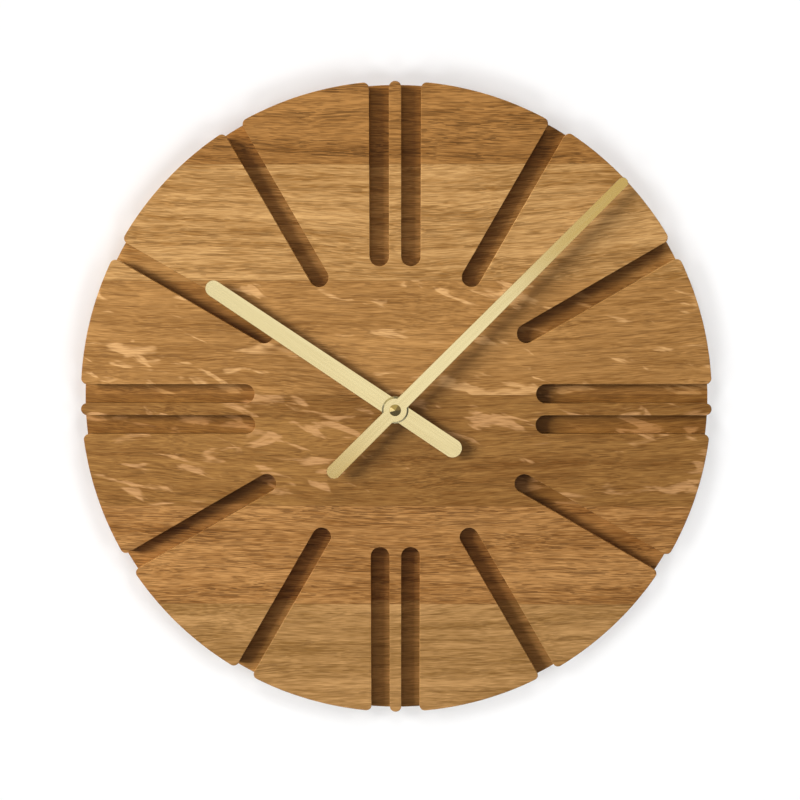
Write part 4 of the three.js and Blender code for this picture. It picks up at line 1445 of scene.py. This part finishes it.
@dataclass
class Battery:
    """The round cell that lies in its bay along the bottom of the case."""

    centre: Place = (0.0, -9.5 * MM, -19.4 * MM)
    length: float = 50.5 * MM
    diameter: float = 14.2 * MM
    nub_diameter: float = 5.5 * MM
    nub_length: float = 1 * MM
    nub_edge: float = 0.3 * MM
    nub_root: float = 0.25 * MM
    # The flat end's middle is sunk, with a slope round it.
    sunk_depth: float = 0.15 * MM
    sunk_radius: float = 3.6 * MM
    sunk_slope: float = 0.3 * MM
    # The sleeve rolls over both ends, and a groove parts it from the can.
    edge: float = 0.6 * MM
    sleeve_inset: float = 0.2 * MM
    groove_depth: float = 0.3 * MM
    groove_inner: float = 1.1 * MM
    groove_outer: float = 0.9 * MM
    # The can's cap slopes up from the sleeve to the flat round the nub.
    cap_outer: float = 1 * MM
    cap_slope: float = 0.35 * MM
    cap_flat: float = 1.4 * MM

    def profile(self) -> Profile:
        """Half the cell's outline from its flat end to its nub.

        Returns:
            Pairs of radius and length.
        """
        radius, nub, end = self.diameter / 2, self.nub_diameter / 2, self.length / 2
        shoulder = end - self.nub_length
        rolled = edge_steps(self.edge)
        low, high = self.sleeve_inset - end, shoulder - self.sleeve_inset
        return [
            (0.0, self.sunk_depth - end),
            (self.sunk_radius, self.sunk_depth - end),
            (self.sunk_radius + self.sunk_slope, -end),
            (radius - self.groove_inner, -end),
            (radius - self.groove_outer, self.groove_depth - end),
            *((radius - inwards, low + deep) for inwards, deep in rolled),
            *((radius - inwards, high - deep) for inwards, deep in reversed(rolled)),
            (radius - self.cap_outer, shoulder - self.cap_slope),
            (nub + self.cap_flat, shoulder),
            (nub + self.nub_edge, shoulder),
            (nub, shoulder + self.nub_root),
            (nub, end - self.nub_edge),
            (nub - self.nub_edge, end),
            (0.0, end),
        ]

    def build(self, sleeve: Material) -> None:
        """Builds the cell, turned upright and then laid along x.

        Args:
            sleeve: Its finish.
        """
        cell = turned("sleeved_cell", self.profile())
        cell.data.transform(Matrix.Translation(self.centre) @ Matrix.Rotation(-math.pi / 2, 4, "Z"))
        dress(cell, sleeve, "cell", ["battery"])


@dataclass
class Movement:
    """The moulded case, its cover, and everything inside it."""

    plastic_edge: float = 0.15 * MM

    def build(self, black_abs: Material, zinc: Material, turned_brass: Material) -> None:
        """Dresses the solids of the movement.

        Args:
            black_abs: The plastic of the case and its cover.
            zinc: The plated steel of the cannon pinion.
            turned_brass: The brass of the centre wheel.
        """
        for name in ("front_housing", "back_cover"):
            dress_node(name, black_abs, self.plastic_edge)
        dress_node("cannon_pinion", zinc)
        dress_node("centre_wheel", turned_brass)
        # Acetal is a waxy white, nickel a warm bright grey, and bare stator sheet a duller grey. The board's
        # lacquer is green and glossy, the drop of resin nearly black, and the sintered magnet a matt grey.
        wheels = ["hour_wheel", "motion_wheel", "third_wheel", "fourth_wheel", "intermediate_wheel"]
        springs = ["negative_contact", "positive_contact"]
        solids = (
            (MouldedPlastic("moulded_white_acetal", "#e8e6de", 0.38), [*wheels, "rotor_pinion", "coil_bobbin"]),
            (PlatedSteel("nickel_plated_spring_steel", "#c8c6c0", 0.25), [*springs, "quartz_crystal"]),
            (PlatedSteel("stamped_silicon_steel", "#85878a", 0.42), ["stator", "coil_core"]),
            (WoundCopper(), ["coil_winding"]),
            (PlainFinish("coated_glass_epoxy_board", "#1f6b3c", 0.42), ["circuit_board"]),
            (PlainFinish("cast_black_epoxy", "#101114", 0.35), ["resin_covered_chip"]),
            (PlainFinish("sintered_ferrite", "#3b3b3e", 0.6), ["rotor_magnet"]),
        )
        for finish, names in solids:
            material = finish.make()
            for name in names:
                dress_node(name, material)


@dataclass(frozen=True)
class SoftLight:
    """A rectangular soft box that points at the middle of the dial."""

    name: str
    place: Place
    width: float
    height: float
    radiance: float
    tilt: float = 0.0
    colour: str = "#ffffff"
    mirrored: bool = True
    on_backdrop: bool = False

    def build(self) -> bpy.types.Object:
        """Adds the light to the scene.

        Returns:
            The light.
        """
        data = bpy.data.lights.new(self.name, "AREA")
        data.shape, data.size, data.size_y = "RECTANGLE", self.width, self.height
        data.energy = self.radiance * math.pi * self.width * self.height
        data.color = linear(self.colour)[:3]
        light = bpy.data.objects.new(self.name, data)
        aim = (-Vector(self.place)).to_track_quat("-Z", "Y").to_matrix().to_4x4()
        light.matrix_world = Matrix.Translation(self.place) @ aim @ Matrix.Rotation(self.tilt, 4, "Z")
        light.visible_glossy = self.mirrored
        bpy.context.scene.collection.objects.link(light)
        return light


@dataclass
class Studio:
    """The pale wall and floor, the soft lights and the camera."""

    wall_depth: float = 0.5 * MM
    wall_opening: float = 169 * MM
    wall_reach: float = 3.0
    floor_height: float = -1.6
    floor_front: float = -1.2
    camera_place: Place = (6.52 * MM, -490.71 * MM, 31.33 * MM)
    camera_turn: Place = (83.474, 0.0114, 0.4914)
    lens: float = 39.015
    rise: float = 0.0625
    sky: float = 0.13
    sky_colour: str = "#ffffff"
    # How far the cards that the hands mirror are turned in their own plane.
    card_tilt: float = math.radians(-33.7)
    ring_distance: float = 1.2
    ring_radius: float = 0.8
    ring_lights: int = 8
    ring_light_size: float = 0.3
    ring_radiance: float = 11.1

    def dial_lights(self) -> list[SoftLight]:
        """The soft boxes that light the clock, and the cards that the brass mirrors.

        Returns:
            The lights.
        """
        tilt = self.card_tilt
        return [
            SoftLight("left_soft_box", (-2.12, -1.33, 0.4), 1.3, 1.0, 36.0, mirrored=False),
            SoftLight("top_soft_box", (0.1, -0.5, 1.5), 1.2, 0.6, 9.0, mirrored=False),
            SoftLight("room", (0.0, -2.1, 0.8), 4.4, 3.2, 0.15, colour="#ffe3a6"),
            SoftLight("left_card", (-1.6, -1.7, 0.1), 1.2, 1.5, 1.0),
            SoftLight("white_card", (-0.08, -1.7, 0.12), 1.3, 0.6, 0.74, tilt),
            SoftLight("upper_gold_card", (0.46, -1.7, 0.48), 1.3, 0.6, 0.36, tilt, "#ffd671"),
            SoftLight("lower_gold_card", (-0.26, -1.7, -0.42), 1.0, 0.56, 0.31, tilt, "#ffcf5f"),
            SoftLight("overhead_card", (0.0, -1.7, 1.6), 1.8, 0.9, 0.3, colour="#f2f0b4"),
            SoftLight("high_left_card", (-1.7, -1.3, 1.9), 2.4, 2.4, 0.3, colour="#fff0c0"),
            SoftLight("back_soft_box", (0.8, 1.6, 0.8), 1.2, 1.2, 9.0, on_backdrop=True),
        ]

    def wall_lights(self) -> list[SoftLight]:
        """The ring of lights that whitens the wall round the clock.

        Returns:
            The lights.
        """
        size = self.ring_light_size
        ring = circle((0.0, 0.0), self.ring_radius, self.ring_lights)
        return [
            SoftLight(f"wall_light_{number}", (x, -self.ring_distance, z), size, size, self.ring_radiance)
            for number, (x, z) in enumerate(ring, 1)
        ]

    def build(self) -> None:
        """Builds the wall, the floor, the lights and the camera."""
        # Matt paint on plaster: an even white without gloss.
        paint = PlainFinish("matt_white_wall_paint", "#f4f4f4", 0.9).make()
        dial_side = bpy.data.collections.new("lit_by_soft_boxes")
        wall_side = bpy.data.collections.new("lit_by_wall_lights")
        for item in (self.wall(), self.floor()):
            item.data.materials.append(paint)
            wall_side.objects.link(item)
            dial_side.objects.link(item)
        for light in self.dial_lights():
            lamp = light.build()
            if not light.on_backdrop:
                lamp.light_linking.receiver_collection = dial_side
        for entry in dial_side.collection_objects:
            entry.light_linking.link_state = "EXCLUDE"
        for light in self.wall_lights():
            light.build().light_linking.receiver_collection = wall_side
        self.surround()
        self.camera()

    def wall(self) -> Piece:
        """The wall that the clock hangs on, with a round opening that lets the dial's back be seen.

        Returns:
            The wall.
        """
        mesh = bmesh.new()
        rings = [circle((0.0, 0.0), radius, Parts.PIECE) for radius in (self.wall_reach, self.wall_opening)]
        stack(mesh, [(ring, self.wall_depth) for ring in rings])
        return as_piece("wall", mesh)

    def floor(self) -> Piece:
        """A plain floor below the picture.

        Returns:
            The floor.
        """
        mesh = bmesh.new()
        reach, front = self.wall_reach, self.floor_front
        corners = ((-reach, front), (reach, front), (reach, reach), (-reach, reach))
        mesh.faces.new([mesh.verts.new((x, y, self.floor_height)) for x, y in corners])
        return as_piece("floor", mesh)

    def surround(self) -> None:
        """Sets an even pale surround, which fills the shadows and shows in the brass."""
        world = bpy.data.worlds.new("surround")
        bpy.context.scene.world = world
        world.use_nodes = True
        background = world.node_tree.nodes["Background"]
        background.inputs["Color"].default_value = linear(self.sky_colour)
        background.inputs["Strength"].default_value = self.sky

    def camera(self) -> None:
        """Sets the camera where the photograph was taken from."""
        data = bpy.data.cameras.new("camera")
        data.lens, data.shift_y = self.lens, self.rise
        camera = bpy.data.objects.new("camera", data)
        camera.location = self.camera_place
        camera.rotation_euler = [math.radians(a) for a in self.camera_turn]
        scene = bpy.context.scene
        scene.collection.objects.link(camera)
        scene.camera = camera
        scene.view_settings.view_transform = "Standard"


def oaks(edges: Sequence[float]) -> list[Material]:
    """The oak of each stave, from the bottom up.

    Args:
        edges: The heights of the staves' edges.

    Returns:
        The materials.
    """
    # The two staves in the middle are quartersawn, so they alone show the rays.
    boards = (
        OiledOak("#a37d4f", "#735228", "#4d3213", "#b18e59", pores_shown=0.45, slope=0.03),
        OiledOak("#a57a49", "#734b21", "#4a2c10", "#b28f57", pores_shown=0.75, bow=0.2),
        OiledOak("#8a6435", "#623e18", "#43280d", "#b0865a", pores_shown=0.5, bow=0.3, flecks_shown=0.7),
        OiledOak("#9e7544", "#724d23", "#4f3217", "#bd9463", pores_shown=0.45, bow=0.2, flecks_shown=0.8),
        OiledOak("#ad8756", "#7c5629", "#583b1b", "#b99565", pores_shown=0.6, bow=0.3, bands=0.3),
        OiledOak("#926838", "#664119", "#42280d", "#a87e48", pores_shown=0.75, slope=-0.02, bow=0.2),
    )
    return [
        replace(board, name=f"oiled_oak_stave_{number}", bottom=bottom, top=top, seed=number * SEED_STEP).make()
        for number, (board, bottom, top) in enumerate(zip(boards, edges, edges[1:]), 1)
    ]


def main() -> None:
    """Builds the clock's sub-assemblies and the studio."""
    logging.basicConfig(level=logging.INFO, format="%(message)s")
    Studio().build()
    hanger = Hanger()
    dial = Dial(hanger)
    dial.build(oaks([-1.0, *dial.glue_lines, 1.0]))
    # Zinc plate is a bluish grey with a soft sheen.
    zinc = PlatedSteel("zinc_plated_steel", "#b9bcc2", 0.34).make()
    hanger.build(zinc)
    turned_brass = TurnedBrass().make()
    # Nitrile rubber is a dull soft black, and ABS a black with a low even gloss.
    rubber = MouldedPlastic("moulded_nitrile_rubber", "#222225", 0.8).make()
    black_abs = MouldedPlastic("moulded_black_abs", "#1c1d1f", 0.5).make()
    CentreFixing().build(turned_brass, rubber)
    hour_turn, minute_turn = math.radians(303.75), math.radians(45)
    hour_hand = Hand(
        name="hour_blade",
        node="hour_hand",
        body="hour",
        angle=hour_turn,
        length=119.2 * MM,
        tail=42 * MM,
        tip_width=8.6 * MM,
        tail_width=10.1 * MM,
        boss_diameter=14.5 * MM,
        front=-28.9 * MM,
        bore_diameter=5.1 * MM,
        collet_diameter=8 * MM,
        collet_length=0.6 * MM,
        raised_height=0.7 * MM,
    )
    hour_hand.build(BrushedBrass("brushed_brass_hour_hand", hour_turn).make())
    minute_hand = Hand(
        name="minute_blade",
        node="minute_hand",
        body="minute",
        angle=minute_turn,
        length=168.3 * MM,
        tail=50.3 * MM,
        tip_width=5.3 * MM,
        tail_width=7.6 * MM,
        boss_diameter=12.5 * MM,
        front=-31.6 * MM,
        bore_diameter=2.6 * MM,
    )
    minute_hand.build(BrushedBrass("brushed_brass_minute_hand", minute_turn).make())
    CapNut().build(turned_brass)
    SettingKnob().build(black_abs)
    battery = Battery()
    battery.build(SleevedCell(battery.length).make())
    Movement().build(black_abs, zinc, turned_brass)


if __name__ == "__main__":
    main()
